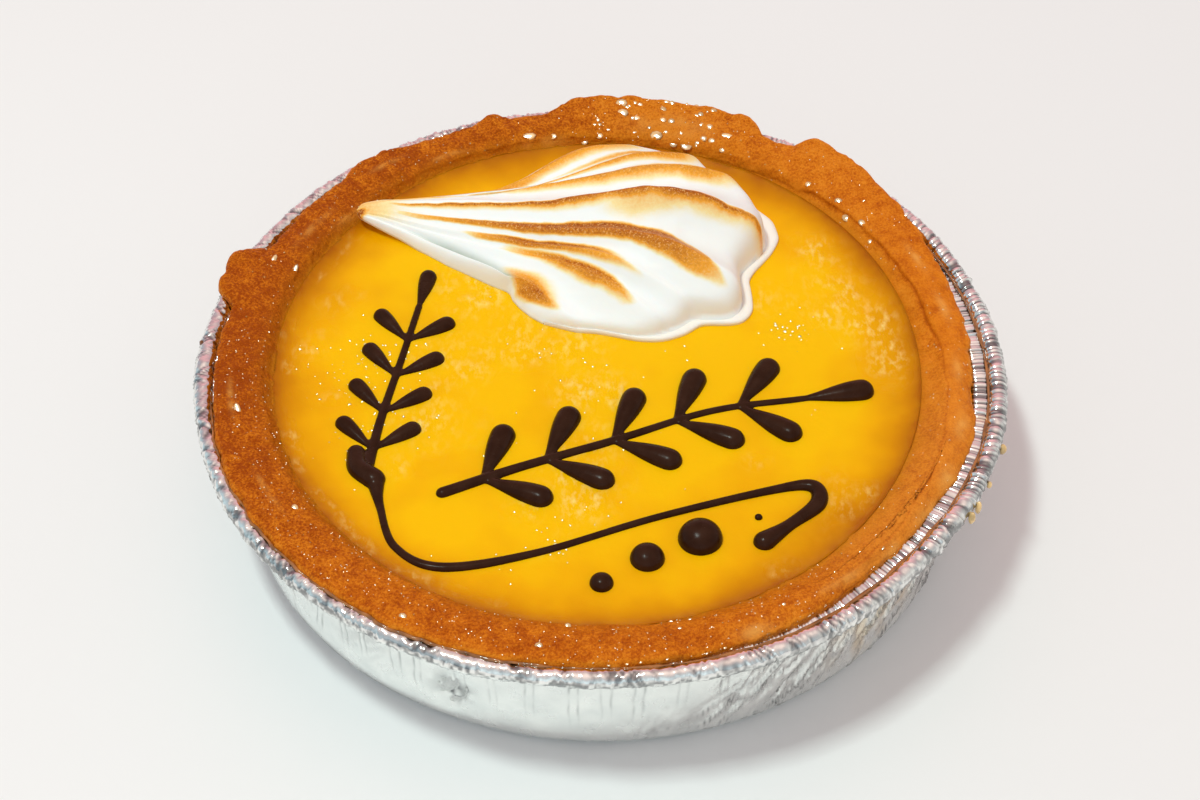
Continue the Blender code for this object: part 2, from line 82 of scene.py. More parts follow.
# The flange's section, below and above, as (radius, height), and the rows in each stretch of the
# rim's whole section.
FLANGE_UNDERSIDE = ((50.6, 18.5), (51.4, 19.2), (52.2, 19.5))
FLANGE_TOP = ((52.58, 20.56), (52.35, 20.64), (51.85, 20.72), (51, 20.7), (50.1, 20.5))
BEAD_POINTS = 10
RIM_STEPS = (1, 1, 1, 2, 2, 2, 2, 2, 2, 2, 2, 2, 1, 1, 2, 2, 1, 1)
RIM_COLUMNS = 3200
WALL_COLUMNS = 2400
WALL_ROWS = 24
BEAD_CRIMPS = 900
BEAD_WIDE_CRIMPS = 470
FLANGE_CRIMPS = 1300
FLANGE_WIDE_CRIMPS = 610

# Crinkled patches of the wall: bearing, height, half length, half height, sink and depth. A sunken patch
# is darkened with painted shade.
CRINKLES = (
    (-112, 8.8, 2.2, 2.6, 0.6, 0.6), (-69, 6, 3.5, 4, 0, 0.2), (-61, 8, 5, 6, 0, 0.2),
    (-52, 11, 6, 7, 0, 0.2), (-43, 12, 5, 7, 0, 0.18), (-80, 4.5, 5, 2.5, 0, 0.12),
    (-128, 12, 5, 5, 0, 0.1),
)
# Smears of syrup on the wall, the widest one at -44 being a painted brownish reflection: bearing, height,
# half width (degrees), half height and depth.
SMEARS_AND_REFLECTION = ((-58, 16.5, 4, 1.6, 1), (-66, 15.5, 2.5, 1.5, 1), (-44, 10, 7, 5, 1.4))

# Pastry case.
GAP = 0.3
CRUST_COLUMNS = 1200
# The rows in each stretch of the crust's section, from its floor outwards, and where the floors
# of the case and the curd begin.
CRUST_STEPS = (1, 1, 2, 2, 4, 4, 4, 3, 3, 3, 9, 8, 8, 5, 3, 3, 2, 2, 1, 1)
MIDDLE_RADIUS = 3.0
FLOOR_HEIGHT = 4.0
WELL_CORNER = 0.9
WELL_CHAMFER = 1.4
WELL_TAPER = 2.3
RIM_HEIGHT = 22.1
RIM_CROWN = 0.3
RIM_ROUNDING = 0.45
SLOPE_WIDTHS = ((-180, 1.7), (-90, 1), (-45, 4.2), (0, 3.2), (45, 1.5), (90, 0.7), (135, 1.2))
# How hollow the rim's inner slope is, by bearing: 1 is straight, 3 is a ledge under a step.
SLOPE_HOLLOWS = ((-180, 1), (-60, 0.9), (-20, 1.2), (8, 3), (60, 3), (100, 1.2))
EDGE_RADII = (
    (-180, 52.2), (-150, 53.1), (-115, 53.3), (-95, 52.8), (-80, 52.3), (-60, 51.5), (-47, 50.8),
    (-33, 50.8), (-20, 51.3), (0, 50.2), (12, 51.3), (27, 51.9), (60, 52.3), (130, 52.4),
    (150, 51.9),
)
EDGE_HEIGHTS = (
    (-180, 22.3), (-90, 22.3), (-60, 21.7), (-35, 21.3), (15, 21.5), (32, 22.3), (60, 23),
    (120, 23),
)
# Crags: bearings where each starts, where its top starts and ends and where it ends, then its
# reach out and its rise.
CRAGS = (
    (27, 54, 54, 57, 2.4, 1.2), (62.5, 67.5, 92, 99, 2, 1.1), (105.5, 108, 108, 111.5, 0.7, 0.6),
    (123, 131, 131, 135.5, 0.9, 0.4), (155.5, 159.5, 159.5, 168.5, 3.9, 0.9),
    (163, 166, 166, 168, 0.9, 0.2),
)
# The crack where the rim's crown parts from the ledge under it: bearing, radius and depth share. The
# share also sets how dark the crack's painted shade is.
CRACK = (
    (-75, 48.8, 0), (-55, 49.3, 0.3), (-40, 48.7, 0.45), (-30, 48, 0.45), (-20, 47.6, 0.4),
    (-10, 47.1, 0.4), (0, 46.5, 0.6), (10, 45.8, 0.95), (30, 46, 1), (45, 46.3, 1), (60, 46.4, 0.9),
    (80, 46.6, 0.5), (100, 47.2, 0.35), (120, 46.9, 0.25), (135, 46.5, 0),
)
CRACK_DEPTH = 0.27
CRACK_HALF_WIDTH = 0.18
TINY_DROPS = 700
DROP_THINNESS = 0.07
DROP_SWELL = 1.5
# How deeply the rim is baked, by bearing: 0 is light orange, 1 is deep brown.
BAKE_KEYS = (
    (-180, 1), (-160, 0.86), (-140, 0.74), (-120, 0.66), (-90, 0.68), (-60, 0.56), (-40, 0.34),
    (-20, 0.46), (0, 0.43), (25, 0.5), (60, 0.4), (80, 0.25), (100, 0.62), (120, 0.74), (140, 0.82),
    (160, 0.84),
)
# Pale patches on the rim, painted as sheen on its glaze: bearing, radius, half length and half width.
HAZE_PATCHES = (
    (-68, 51, 2.2, 0.9), (-52, 49.6, 3.5, 0.5), (-42, 50.5, 2.5, 1), (-33, 50.2, 2.5, 0.9),
    (-25, 50, 2.2, 0.9), (-14, 49.4, 2.5, 0.8), (-2, 48.5, 2.5, 0.8), (0, 51, 2, 0.6),
    (12, 48.6, 2.5, 0.6), (24, 49, 2.5, 0.6), (78, 49.5, 5, 1.6), (100, 47, 3, 0.5),
    (140, 46.5, 3, 0.5), (148, 48.6, 3.2, 0.5), (128, 50.4, 2.6, 0.4), (118, 48, 2.6, 0.35),
    (-150, 49.5, 3, 0.4), (-171, 50, 3, 0.4),
)
# Drops of glaze that catch the light: bearing, radius, half length and half width.
GLAZE_DROPS = (
    (67.8, 49.7, 0.75, 0.3), (70.2, 48.4, 0.35, 0.3), (71.7, 48.4, 0.35, 0.3),
    (67.8, 47.4, 0.3, 0.25), (74.4, 47.1, 0.6, 0.5), (76.7, 47.1, 0.4, 0.35),
    (80.1, 47.7, 0.65, 0.5), (74.7, 54.1, 0.3, 0.25), (71.7, 53.6, 0.35, 0.25),
    (73.5, 52.1, 0.3, 0.3), (71.4, 50.5, 0.35, 0.3), (72.9, 50.5, 0.3, 0.25),
    (78.6, 53.6, 0.3, 0.25), (79.5, 53.6, 0.3, 0.25), (79.8, 52.1, 0.35, 0.3),
    (78, 50.3, 0.35, 0.3), (79.5, 50.3, 0.35, 0.3), (84, 50.3, 0.4, 0.3), (86.4, 50.8, 0.6, 0.45),
    (86.7, 52.6, 0.6, 0.45), (83.7, 52.6, 0.3, 0.25), (72.6, 47.7, 0.25, 0.25),
    (32.7, 45.8, 0.3, 0.25), (36.6, 46.6, 0.4, 0.3), (39.9, 46.1, 0.45, 0.35),
    (43.2, 47.1, 0.45, 0.35), (50.1, 47.1, 0.35, 0.3), (90.3, 47.4, 0.35, 0.3),
    (93, 47.1, 0.35, 0.3), (98.6, 47.6, 0.4, 0.3), (103.2, 47.9, 0.9, 0.4),
    (157.8, 49.7, 0.6, 0.25), (157.8, 46.5, 0.6, 0.25), (-117.9, 51.8, 0.35, 0.3),
    (-144.6, 47.9, 0.35, 0.3), (-98.4, 50.8, 0.35, 0.3), (-94.8, 47.1, 0.3, 0.3),
    (-167.7, 49.2, 0.7, 0.3), (-78.3, 48.2, 0.2, 0.15), (-76.2, 46.6, 0.2, 0.15),
    (-79.2, 46.6, 0.2, 0.15), (-62.4, 49, 0.2, 0.15), (-43.5, 49.2, 0.2, 0.15),
    (-88.8, 53.2, 0.15, 0.13), (-86.4, 53.2, 0.15, 0.13), (-84.6, 53.2, 0.15, 0.13),
    (-81, 53.2, 0.15, 0.13), (-75.6, 53, 0.15, 0.13), (-73, 52.9, 0.15, 0.13),
    (-72, 52.9, 0.15, 0.13),
)
# Beads of moisture on the curd that catch the light: x and y.
CURD_DROPS = (
    (-32.4, 4.6), (-33.1, 0.7), (-33.7, -7), (-31, -6.6), (-30.2, -15.3), (-37.8, -6.1),
    (-41.3, 3.6), (24.3, 8.6), (25.5, 7.4), (27.5, 6.4), (7.5, 7.7), (-5.7, -31.8),
)
# Where moisture gathers on the curd: x, y, spread and share of the beads.
BEAD_CLUSTERS = (
    (-32, -1, 7, 0.34), (-31, -14, 6, 0.16), (26, 7.5, 4, 0.1), (-6, -31, 9, 0.12), (0, 0, 26, 0.28),
)
# Where the light and the eye are that the drops shine between.
LIGHT_PLACE = (-225.0, -125.0, 865.0)
EYE_PLACE = (0.0, -241.98, 260.17)

# Lemon curd.
CURD_RADIUS = 44.7
CURD_HEIGHT = 20.0
CURD_CREEP = 0.8
CURD_SIDE_SHIFT = 0.5
CURD_OVAL = 1.2
CURD_COLUMNS = 1020
CURD_ROWS = 90
# How far in from the case the curd stays amber, by bearing. The darkest amber at the case, and the wide
# fade at -50, are partly painted shade.
EDGE_FADES = (
    (-180, 3.6), (-150, 3.3), (-110, 3.6), (-80, 3.8), (-50, 6.3), (-20, 3.2), (30, 3.4), (60, 4.2),
    (110, 4.2), (150, 3.9),
)
# Patches of wrinkled skin on the curd, also paler there with a painted sheen: x, y, radius and depth
# share.
WRINKLE_PATCHES = (
    (-0.1, -5, 3.5, 0.8), (-2, -22, 4, 0.9), (-1.5, -14.5, 3, 0.8), (-22, -10.5, 4.5, 0.6),
    (31, 23.5, 3, 0.9), (33.6, 14, 4.5, 0.8), (38.7, 7.8, 3.5, 1), (40, 1, 3, 1),
    (-5.6, 7.5, 4.5, 0.8), (-10, 5.5, 4, 0.7), (-18, 15.5, 4, 0.9), (22, 13.5, 3, 0.5),
    (-20.5, 2.5, 3.5, 0.7), (-36, 13.5, 2.5, 0.5), (32.5, -24.5, 4, 0.5), (-38.3, 7.3, 1.4, 0.8),
    (-40, 3.9, 1.7, 0.5), (-17.4, 14.9, 2.8, 0.7), (-14.3, 4.5, 2, 0.7), (-17.8, -0.8, 2, 0.6),
    (-24.6, 1.1, 1.2, 0.8), (-22.7, -4.6, 1.5, 0.9), (-23, -11.1, 1.6, 0.8), (-1.4, 4, 2.4, 0.8),
    (-3.4, -4.6, 2.3, 0.9), (0.6, -4.5, 2, 0.8), (-4.5, -20, 1.9, 0.8), (-2.8, -26, 2.2, 0.9),
    (-8.9, -25.2, 2.6, 0.6), (-6.3, -32, 1.9, 0.5), (-26.5, -18.3, 1.6, 0.5),
    (-35.9, -5.6, 1.3, 0.5), (31.1, 24, 1, 0.9), (34.4, 16.4, 1.4, 0.9), (31.3, 10.1, 1.3, 0.7),
    (36.9, 9.1, 0.8, 0.8), (40, 5.3, 1.2, 0.9), (40.1, 0.9, 1, 1), (34.9, -23.7, 1.6, 0.5),
    (23.3, -36.5, 1.8, 0.5), (1.2, -2.8, 2, 0.6), (20.8, -17, 1.6, 0.4),
)

# Piped chocolate: rows of (x, y, half width) on the curd.
UNDERLINE = (
    (-29.4, -20.6, 1.3), (-28.5, -25.2, 0.6), (-26.1, -32.3, 0.6), (-20, -35.7, 0.75),
    (-8, -33.2, 0.6), (7, -27.2, 0.55), (22, -22.4, 0.65), (27.6, -21.6, 1), (28.2, -24.6, 1.15),
    (24.4, -28.3, 0.9), (21, -31.2, 1.5),
)
START_BLOB = ((-32.2, -16, 1.3), (-31.7, -18.6, 1.5), (-29.6, -20.6, 1.6))
TALL_STEM = ((-30.6, -19.8, 0.8), (-29.4, -10, 0.65), (-27.2, 2, 0.55), (-25.4, 12.4, 0.5))
WIDE_STEM = (
    (-20.5, -23, 0.9), (-11, -18.6, 0.75), (2, -13.4, 0.65), (15, -8, 0.6), (27.5, -5.6, 0.55),
)
# Sprigs: stem, pairs of leaves, leaf length and leaf half width.
SPRIGS = ((TALL_STEM, 4, 6.2, 1.25), (WIDE_STEM, 5, 8.2, 1.75))
LEAF_BEARING = 48.0
FIRST_PAIR = 0.7
LEAF_ROOT = 0.28
LEAF_SWELL = 1.5
# Drops: x, y and radius.
DROPS = ((12.8, -30.7, 2.9), (6, -34.1, 2.25), (0.2, -38.2, 1.55), (20.4, -27, 0.55))
DROP_FLATTEN = 0.85
STROKE_SPACING = 0.3
STROKE_SIDES = 18
CHOCOLATE_GRAIN = 0.185
CHOCOLATE_SMOOTHING = 4

# Meringue shell.
TIP = (-35.1, 29.4)
TIP_HEIGHT = 22.8
TIP_REST = 14.0
TIP_HALF_WIDTH = 0.9
BLUNTNESS = 0.02
WALL_SHARPNESS = 80.0
STRETCH = ((5, 6), (1, 0.955))
SIDE_ROUNDING = 0.6
# How slowly each toasted stripe fades, in front and behind, in places among the ridges, and
# the share of its strength that is left at its front.
TOAST_FADES = (
    (0.34, 0.4, 0.75), (0.26, 0.3, 0.7), (0.26, 0.2, 0.7), (0.2, 0.16, 0.7), (0.3, 0.08, 0.35),
    (0.34, 0.16, 0.4), (0.3, 0.14, 0.6), (0.3, 0.16, 0.6), (0.34, 0.2, 0.6), (0.3, 0.16, 0.6),
    (0.34, 0.2, 0.6),
)
TOAST_STRENGTH = 1.08
LIP_ROLL = 0.3
LIP_LEAST = 0.45
LIP_MOST = 2.0
FOLD_DEPTH = 1.0
FOLD_HALF_WIDTH = 0.19
FOLD_FADES = ((0.15, 0.35, 0.66, 0.75), (0, 1, 1, 0))
ROW_CROWDING = 1.6
SHELL_ROWS = 190
FLUTE_COLUMNS = 40
BASE_COLUMNS = 12
SKIRT_DROP = 0.5
BASE_SINK = 0.45
# The tallest crest's height share at shares of its reach.
RISE = (
    (0, 0), (0.01, 0.07), (0.03, 0.13), (0.08, 0.24), (0.215, 0.38), (0.36, 0.53), (0.485, 0.66),
    (0.58, 0.81), (0.65, 0.93), (0.7, 0.985), (0.755, 1), (0.81, 0.94), (0.86, 0.83), (0.91, 0.71),
    (0.955, 0.6), (1, 0.5),
)
# Ridges from front to back: height share, and bearings at these shares of the reach.
PATH_SHARES = (0, 0.1, 0.2, 0.3, 0.4, 0.6, 0.8, 1)
RIDGES = (
    (0, (-36, -36, -34, -33.5, -33.8, -33.7, -34.5, -37)),
    (0.3, (-20, -22, -24.5, -27.5, -29.4, -31.2, -33.4, -34.8)),
    (0.48, (-15, -17.5, -20.5, -22.6, -24, -25, -26.4, -28)),
    (0.62, (-13, -15.8, -18.2, -19.7, -20.7, -21.8, -22.7, -23.4)),
    (0.8, (-6, -9.5, -12.5, -14.6, -16, -17, -17.3, -17.5)),
    (1, (6, 3, -1.5, -5.3, -7.7, -8.2, -7.2, -6.2)),
    (0.8, (14, 11, 7.5, 5, 3.6, 2.6, 2.3, 2.5)),
    (0.72, (16, 11.5, 6.8, 3.4, 2.5, 4.6, 7.9, 10)),
    (0.64, (17.5, 12.5, 7.4, 4, 3.1, 7, 13.2, 16.8)),
    (0, (19, 14, 8.8, 5.4, 4.6, 9.6, 16.8, 20.8)),
)
# The front edge's bearings at shares of its reach: it steps out where the front lobe starts.
FRONT_EDGE = (
    (0, -27), (0.1, -27), (0.2, -27.5), (0.3, -30.5), (0.46, -33), (0.69, -33.2), (0.76, -32.8),
    (0.785, -33.4), (0.81, -35), (0.865, -36.5), (0.93, -37.3), (1, -37.3),
)
REACHES = (
    (-37.5, 33.8), (-37, 34.7), (-36, 36.8), (-35, 39), (-34, 40), (-33, 41.4), (-32, 43.6),
    (-31, 46.6), (-30, 48.3), (-29, 49.7), (-28, 50.6), (-26, 52), (-23, 53.3), (-22.3, 54.6),
    (-21.6, 56.8), (-20.5, 58.4), (-19, 59), (-17.5, 59.1), (-15, 58.3), (-12, 57.2), (-10, 57.7),
    (-6, 59.8), (-3, 60.8), (0.4, 60), (7.2, 54.2), (12.4, 50.2), (15.2, 46), (18.7, 39), (20, 34),
)
# The crease that parts the head from its thin lip: (place among the ridges, share of the reach).
LIP_CREASE = (
    (0, 0.995), (1.3, 0.99), (2, 0.975), (3.4, 0.972), (4.6, 0.975), (5, 0.985), (5.35, 0.965),
    (6, 0.945), (6.6, 0.96), (7.5, 0.985), (9, 0.995),
)
# The fold between the front skirt and the front lobe: (share of the reach, place).
SKIRT_FOLD = ((0.1, 1.55), (0.3, 1.35), (0.45, 1.2), (0.6, 1.02), (0.7, 0.75), (0.78, 0.3))
# Where the torch browned the shell, one stripe after another: rows of (share of the reach,
# first place, last place, strength).
TOASTED = (
    ((0.58, 1.25, 1.4, 0), (0.66, 0.95, 1.4, 0.35), (0.72, 0.6, 1.35, 0.5), (0.77, 0.3, 1.25, 0.6),
     (0.82, 0.15, 1.1, 0.75), (0.87, 0.25, 0.95, 0.65), (0.91, 0.45, 0.85, 0.4),
     (0.94, 0.6, 0.7, 0)),
    ((0.44, 2.1, 2.6, 0), (0.5, 2, 2.6, 0.35), (0.58, 1.95, 2.55, 0.6), (0.66, 1.85, 2.45, 0.75),
     (0.75, 1.8, 2.4, 0.75), (0.82, 1.85, 2.2, 0.6), (0.88, 1.85, 1.95, 0.3), (0.9, 1.9, 1.9, 0)),
    ((0.3, 2.9, 3.2, 0), (0.36, 2.65, 3.3, 0.45), (0.43, 2.65, 3.4, 0.7), (0.5, 2.7, 3.4, 0.8),
     (0.6, 2.75, 3.4, 0.75), (0.66, 2.75, 3.35, 0.6), (0.72, 2.75, 3.2, 0.5), (0.78, 2.8, 3, 0.35),
     (0.85, 2.8, 2.85, 0)),
    ((0.1, 3.6, 4.1, 0.12), (0.16, 3.6, 4.05, 0.35), (0.22, 3.7, 4.05, 0.5), (0.3, 3.7, 4.1, 0.65),
     (0.42, 3.7, 4.2, 0.8), (0.55, 3.75, 4.3, 0.85), (0.7, 3.75, 4.32, 0.85),
     (0.8, 3.65, 4.28, 0.75), (0.88, 3.6, 4.1, 0.5), (0.93, 3.65, 3.8, 0.2), (0.95, 3.7, 3.7, 0)),
    ((0.08, 4.55, 4.8, 0.2), (0.14, 4.55, 4.75, 0.65), (0.25, 4.65, 4.85, 0.8),
     (0.4, 4.78, 4.95, 0.85), (0.5, 4.72, 5, 0.9), (0.6, 4.8, 5.15, 0.95), (0.7, 4.8, 5.15, 0.98),
     (0.8, 4.82, 5.05, 0.95), (0.9, 4.9, 5.03, 0.9), (0.97, 4.92, 5.03, 0.8), (1, 4.93, 5.02, 0.3)),
    ((0.6, 4.7, 4.9, 0), (0.65, 4.55, 5, 0.25), (0.7, 4.5, 5, 0.32), (0.76, 4.65, 5, 0.3),
     (0.82, 4.8, 5, 0.2), (0.86, 4.9, 5, 0)),
    ((0.05, 5.7, 6.2, 0.25), (0.15, 5.85, 6.2, 0.4), (0.3, 5.9, 6.3, 0.6), (0.5, 5.88, 6.3, 0.65),
     (0.7, 5.85, 6.3, 0.7), (0.85, 5.8, 6.4, 0.7), (0.93, 5.88, 6.3, 0.45), (0.97, 6, 6.2, 0)),
    ((0.3, 6.6, 7.1, 0.3), (0.45, 6.65, 7.1, 0.55), (0.52, 6.9, 7.1, 0.5), (0.6, 6.9, 7.15, 0.5),
     (0.8, 6.8, 7.15, 0.65), (0.9, 6.75, 7.15, 0.6), (0.96, 6.9, 7, 0)),
    ((0.7, 6.3, 6.4, 0), (0.78, 6.3, 6.5, 0.4), (0.88, 6.3, 6.6, 0.5), (0.95, 6.4, 6.6, 0)),
    ((0.3, 7.4, 8.2, 0.3), (0.45, 7.45, 8.2, 0.5), (0.6, 7.9, 8.3, 0.5), (0.8, 7.85, 8.4, 0.6),
     (0.92, 7.8, 8.2, 0.4), (0.97, 8, 8, 0)),
    ((0.55, 7.4, 7.5, 0), (0.7, 7.35, 7.55, 0.4), (0.85, 7.35, 7.65, 0.45), (0.95, 7.5, 7.5, 0)),
)

# The one big burnt crumb on the rim: radius, height and bearing.
BURNT_CRUMB = (54.9, 21.0, 176.0)
# Drips of syrup outside the bead: bearing, radius, height and three half sizes.
DRIPS = (
    (-15.5, 55.15, 19.9, 0.65, 0.65, 0.75), (-22.5, 54.95, 19.8, 0.4, 0.4, 0.55),
    (-27, 54.95, 19.7, 0.45, 0.45, 1.1), (-29, 54.85, 19.5, 0.5, 0.5, 1),
)


# ---------------------------------------------------------------- stage and colour

# The lamp's sides and half the floor's side in metres, what the lamp and the camera point at in
# mm, and the camera's roll in degrees.
KEY_SIZES = (0.16, 0.07)
LIGHT_AIM = (0.0, 0.0, 15.0)
EYE_AIM = (-0.06, -6.33, 20.43)
CAMERA_ROLL = 0.15
FLOOR_HALF = 1.2
# The colours of the moisture on the curd, pale yellow as a painted glint, and of the crumbs.
MOISTURE_GLINT_COLOUR = (1.0, 0.7, 0.2)
CRUMB_COLOUR = (0.35, 0.1, 0.015)
# Soft light from round the studio: where each part of it comes from, and its colour.
SKY_SHARPNESS = 4.0
SKY = (
    ((0, -1, 0.15), (0.72, 0.84, 0.84)),
    ((-1, 0, 0.15), (0.45, 0.6, 0.62)),
    ((1, 0, 0.15), (0.67, 0.66, 0.58)),
    ((0, 1, 0.15), (0.85, 0.38, 0.36)),
    ((0, 0, 1), (0.96, 0.74, 0.62)),
)


# ---------------------------------------------------------------- numbers


def eased(share):
    """A share from 0 to 1 with level ends: three times its square less twice its cube."""
    return share * share * (3.0 - 2.0 * share)


def held(values):
    """Values held between 0 and 1."""
    return np.clip(values, 0.0, 1.0)


def bell(values, power=2):
    """A bell curve: the exponential of less a power of how big the values are."""
    return np.exp(-(np.abs(values) ** power))


def around(keys, bearings, column=1):
    """Values at bearings, eased by half a cosine between keys that close on themselves."""
    places = np.array([key[0] for key in keys] + [keys[0][0] + 360.0])
    values = np.array([key[column] for key in keys] + [keys[0][column]])
    at = (bearings - places[0]) % 360.0 + places[0]
    index = np.clip(np.searchsorted(places, at, side="right") - 1, 0, len(keys) - 1)
    share = (at - places[index]) / (places[index + 1] - places[index])
    ease = 0.5 - 0.5 * np.cos(np.pi * share)
    return values[index] + (values[index + 1] - values[index]) * ease


def off_bearing(bearings, centre):
    """Signed angles from a bearing, from -180 to 180."""
    return (bearings - centre + 180.0) % 360.0 - 180.0


def near(bearings, centre, half, power=4):
    """1 at a bearing, falling as a bell with this half width."""
    return bell(off_bearing(bearings, centre) / half, power)


def beside(bearings, centre, most, reach):
    """A side of the tart: this much at its bearing, less a share for each reach away."""
    return held(most - np.abs(off_bearing(bearings, centre)) / reach)


def scrambled(keys):
    """Whole numbers turned into even random values from -1 to 1 by mixing their bits."""
    mixed = keys.astype(np.uint32)
    for shift, factor in ((16, 0x7FEB352D), (15, 0x846CA68B), (16, 1)):
        mixed = (mixed ^ (mixed >> np.uint32(shift))) * np.uint32(factor)
    return mixed / 2147483647.5 - 1.0


def noise(points, size, seed):
    """Smooth noise from -1 to 1: a random value at each corner of a cubic lattice of this
    size, blended across each cell by eased shares."""
    place = points / size
    cell = np.floor(place).astype(np.int64)
    share = eased(place - cell)
    total = np.zeros(points.shape[:-1])
    for corner in np.ndindex(2, 2, 2):
        keys = (cell + corner) @ np.array((73856093, 19349663, 83492791)) + seed * 2654435
        weight = np.where(np.array(corner) > 0, share, 1.0 - share).prod(axis=-1)
        total += weight * scrambled(keys & 0xFFFFFFFF)
    return total


def grains(points, sizes, seed):
    """A sum of noises, each weighted as its (size, depth) pair says."""
    return sum(depth * noise(points, size, seed + i) for i, (size, depth) in enumerate(sizes))


def crimped(bearings, count, seed):
    """A line crimped round the rim: straight flats between folds at uneven bearings, each in
    or out by a random share of the full depth, mostly by turns."""
    draw = np.random.default_rng(seed)
    step = 360.0 / count
    folds = (np.arange(count) + draw.uniform(-0.45, 0.45, count)) * step
    heights = draw.uniform(-0.3, 1.0, count) * (-1.0) ** np.arange(count)
    return np.interp(bearings % 360.0, folds, heights, period=360.0)


def arc(centre, radius, start, end, count):
    """Points (radius, height) on an arc of a profile, from one angle to another (degrees)."""
    angles = np.radians(np.linspace(start, end, count))
    return [(centre[0] + radius * np.cos(a), centre[1] + radius * np.sin(a)) for a in angles]


def curve_weights(count, steps):
    """The weight of each of a curve's points in each row along it: a Catmull-Rom curve with
    this many steps in each stretch."""
    rows = []
    for stretch, step_count in enumerate(steps):
        t = np.arange(step_count) / step_count
        basis = np.stack([
            -t + 2.0 * t**2 - t**3,
            2.0 - 5.0 * t**2 + 3.0 * t**3,
            t + 4.0 * t**2 - 3.0 * t**3,
            -(t**2) + t**3,
        ])
        weights = np.zeros((step_count, count))
        for offset in range(4):
            weights[:, min(max(stretch - 1 + offset, 0), count - 1)] += 0.5 * basis[offset]
        rows.append(weights)
    return np.concatenate(rows + [np.eye(count)[-1:]])


def revolved(radii, heights, bearings):
    """Points at radii and heights, turned to their bearings."""
    angles = np.radians(bearings)
    radii, heights, angles = np.broadcast_arrays(radii, heights, angles)
    return np.stack([radii * np.cos(angles), radii * np.sin(angles), heights], axis=-1)


def raised(grid, relief):
    """A grid whose columns wrap, with a relief added along its outward normals: the cross
    product of the differences along its columns and its rows."""
    along = np.roll(grid, -1, axis=1) - np.roll(grid, 1, axis=1)
    cross = np.cross(along, np.gradient(grid, axis=0))
    normals = cross / np.maximum(np.linalg.norm(cross, axis=-1, keepdims=True), 1e-9)
    outward = np.einsum("ijk,ijk->", normals, grid - grid.mean(axis=0, keepdims=True))
    return grid + normals * relief[..., None] * math.copysign(1.0, outward)


# ---------------------------------------------------------------- meshes


class Surface:
    """Points in mm with the quads and triangles between them, and values at the points."""

    def __init__(self, points, quads, triangles, **values):
        self.points = points
        self.quads = quads
        self.triangles = triangles
        self.values = values

    def volume(self):
        """The signed volume inside: a sixth of the triple products of its triangles."""
        halves = [self.triangles, self.quads[:, (0, 1, 2)], self.quads[:, (0, 2, 3)]]
        corners = self.points[np.concatenate(halves)]
        return np.einsum("ij,ij->", corners[:, 0], np.cross(corners[:, 1], corners[:, 2])) / 6.0

    def facing_out(self):
        """The same surface with its faces turned to point outwards."""
        if self.volume() < 0.0:
            self.quads = self.quads[:, ::-1]
            self.triangles = self.triangles[:, ::-1]
        return self


def lofted(grid, ring=False, **values):
    """A closed surface over a grid (rows, columns, 3) whose columns wrap. Its rows wrap too,
    or each end is closed by a fan to the middle of its row."""
    rows, columns = grid.shape[:2]
    index = np.arange(rows * columns).reshape(rows, columns)
    lower = index if ring else index[:-1]
    upper = np.roll(index, -1, axis=0) if ring else index[1:]
    corners = [lower, np.roll(lower, -1, axis=1), np.roll(upper, -1, axis=1), upper]
    quads = np.stack(corners, axis=-1).reshape(-1, 4)
    points = grid.reshape(-1, 3)
    values = {name: value.reshape(-1) for name, value in values.items()}
    if ring:
        return Surface(points, quads, np.zeros((0, 3), int), **values).facing_out()
    fans = []
    for middle, row, turn in ((rows * columns, index[0], 1), (rows * columns + 1, index[-1], -1)):
        fan = [np.full(columns, middle), np.roll(row, -1), row][::turn]
        fans.append(np.stack(fan, axis=-1))
    ends = np.stack([grid[0].mean(axis=0), grid[-1].mean(axis=0)])
    points = np.concatenate([points, ends])
    for name, value in values.items():
        ends = (value[:columns].mean(), value[-columns:].mean())
        values[name] = np.append(value, ends)
    return Surface(points, quads, np.concatenate(fans), **values).facing_out()


def gathered(surfaces):
    """Several surfaces as one."""
    starts = np.cumsum([0] + [len(surface.points) for surface in surfaces])
    return Surface(
        np.concatenate([surface.points for surface in surfaces]),
        np.concatenate([surface.quads + start for surface, start in zip(surfaces, starts)]),
        np.concatenate([surface.triangles + start for surface, start in zip(surfaces, starts)]),
    )


def copies(surface, points):
    """Copies of a small surface as one, from the points of each (copies, points, 3)."""
    starts = (np.arange(len(points)) * points.shape[1])[:, None, None]
    quads = (surface.quads[None] + starts).reshape(-1, 4)
    triangles = (surface.triangles[None] + starts).reshape(-1, 3)
    return Surface(points.reshape(-1, 3), quads, triangles)


def mesh_of(name, surface):
    """A Blender mesh of a surface, in metres and shaded smooth."""
    mesh = bpy.data.meshes.new(name)
    corners = np.concatenate([surface.quads.reshape(-1), surface.triangles.reshape(-1)])
    sizes = np.repeat((4, 3), (len(surface.quads), len(surface.triangles)))
    mesh.vertices.add(len(surface.points))
    mesh.vertices.foreach_set("co", (surface.points * MM).reshape(-1))
    mesh.loops.add(len(corners))
    mesh.loops.foreach_set("vertex_index", corners)
    mesh.polygons.add(len(sizes))
    mesh.polygons.foreach_set("loop_start", np.cumsum(sizes) - sizes)
    for value_name, value in surface.values.items():
        layer = mesh.attributes.new(value_name, "FLOAT", "POINT")
        layer.data.foreach_set("value", np.asarray(value, np.float32))
    mesh.update(calc_edges=True)
    mesh.validate()
    mesh.shade_smooth()
    return mesh


def put_in_place(name, shape, material, slot, *replaced):
    """Link a piece to the scene, give it its finish and let it ride on the tart's body."""
    mesh = mesh_of(name, shape) if isinstance(shape, Surface) else shape
    piece = bpy.data.objects.new(name, mesh)
    bpy.context.scene.collection.objects.link(piece)
    mesh.materials.clear()
    mesh.materials.append(material)
    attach(piece, BODY)
    if replaced:
        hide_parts(*replaced)


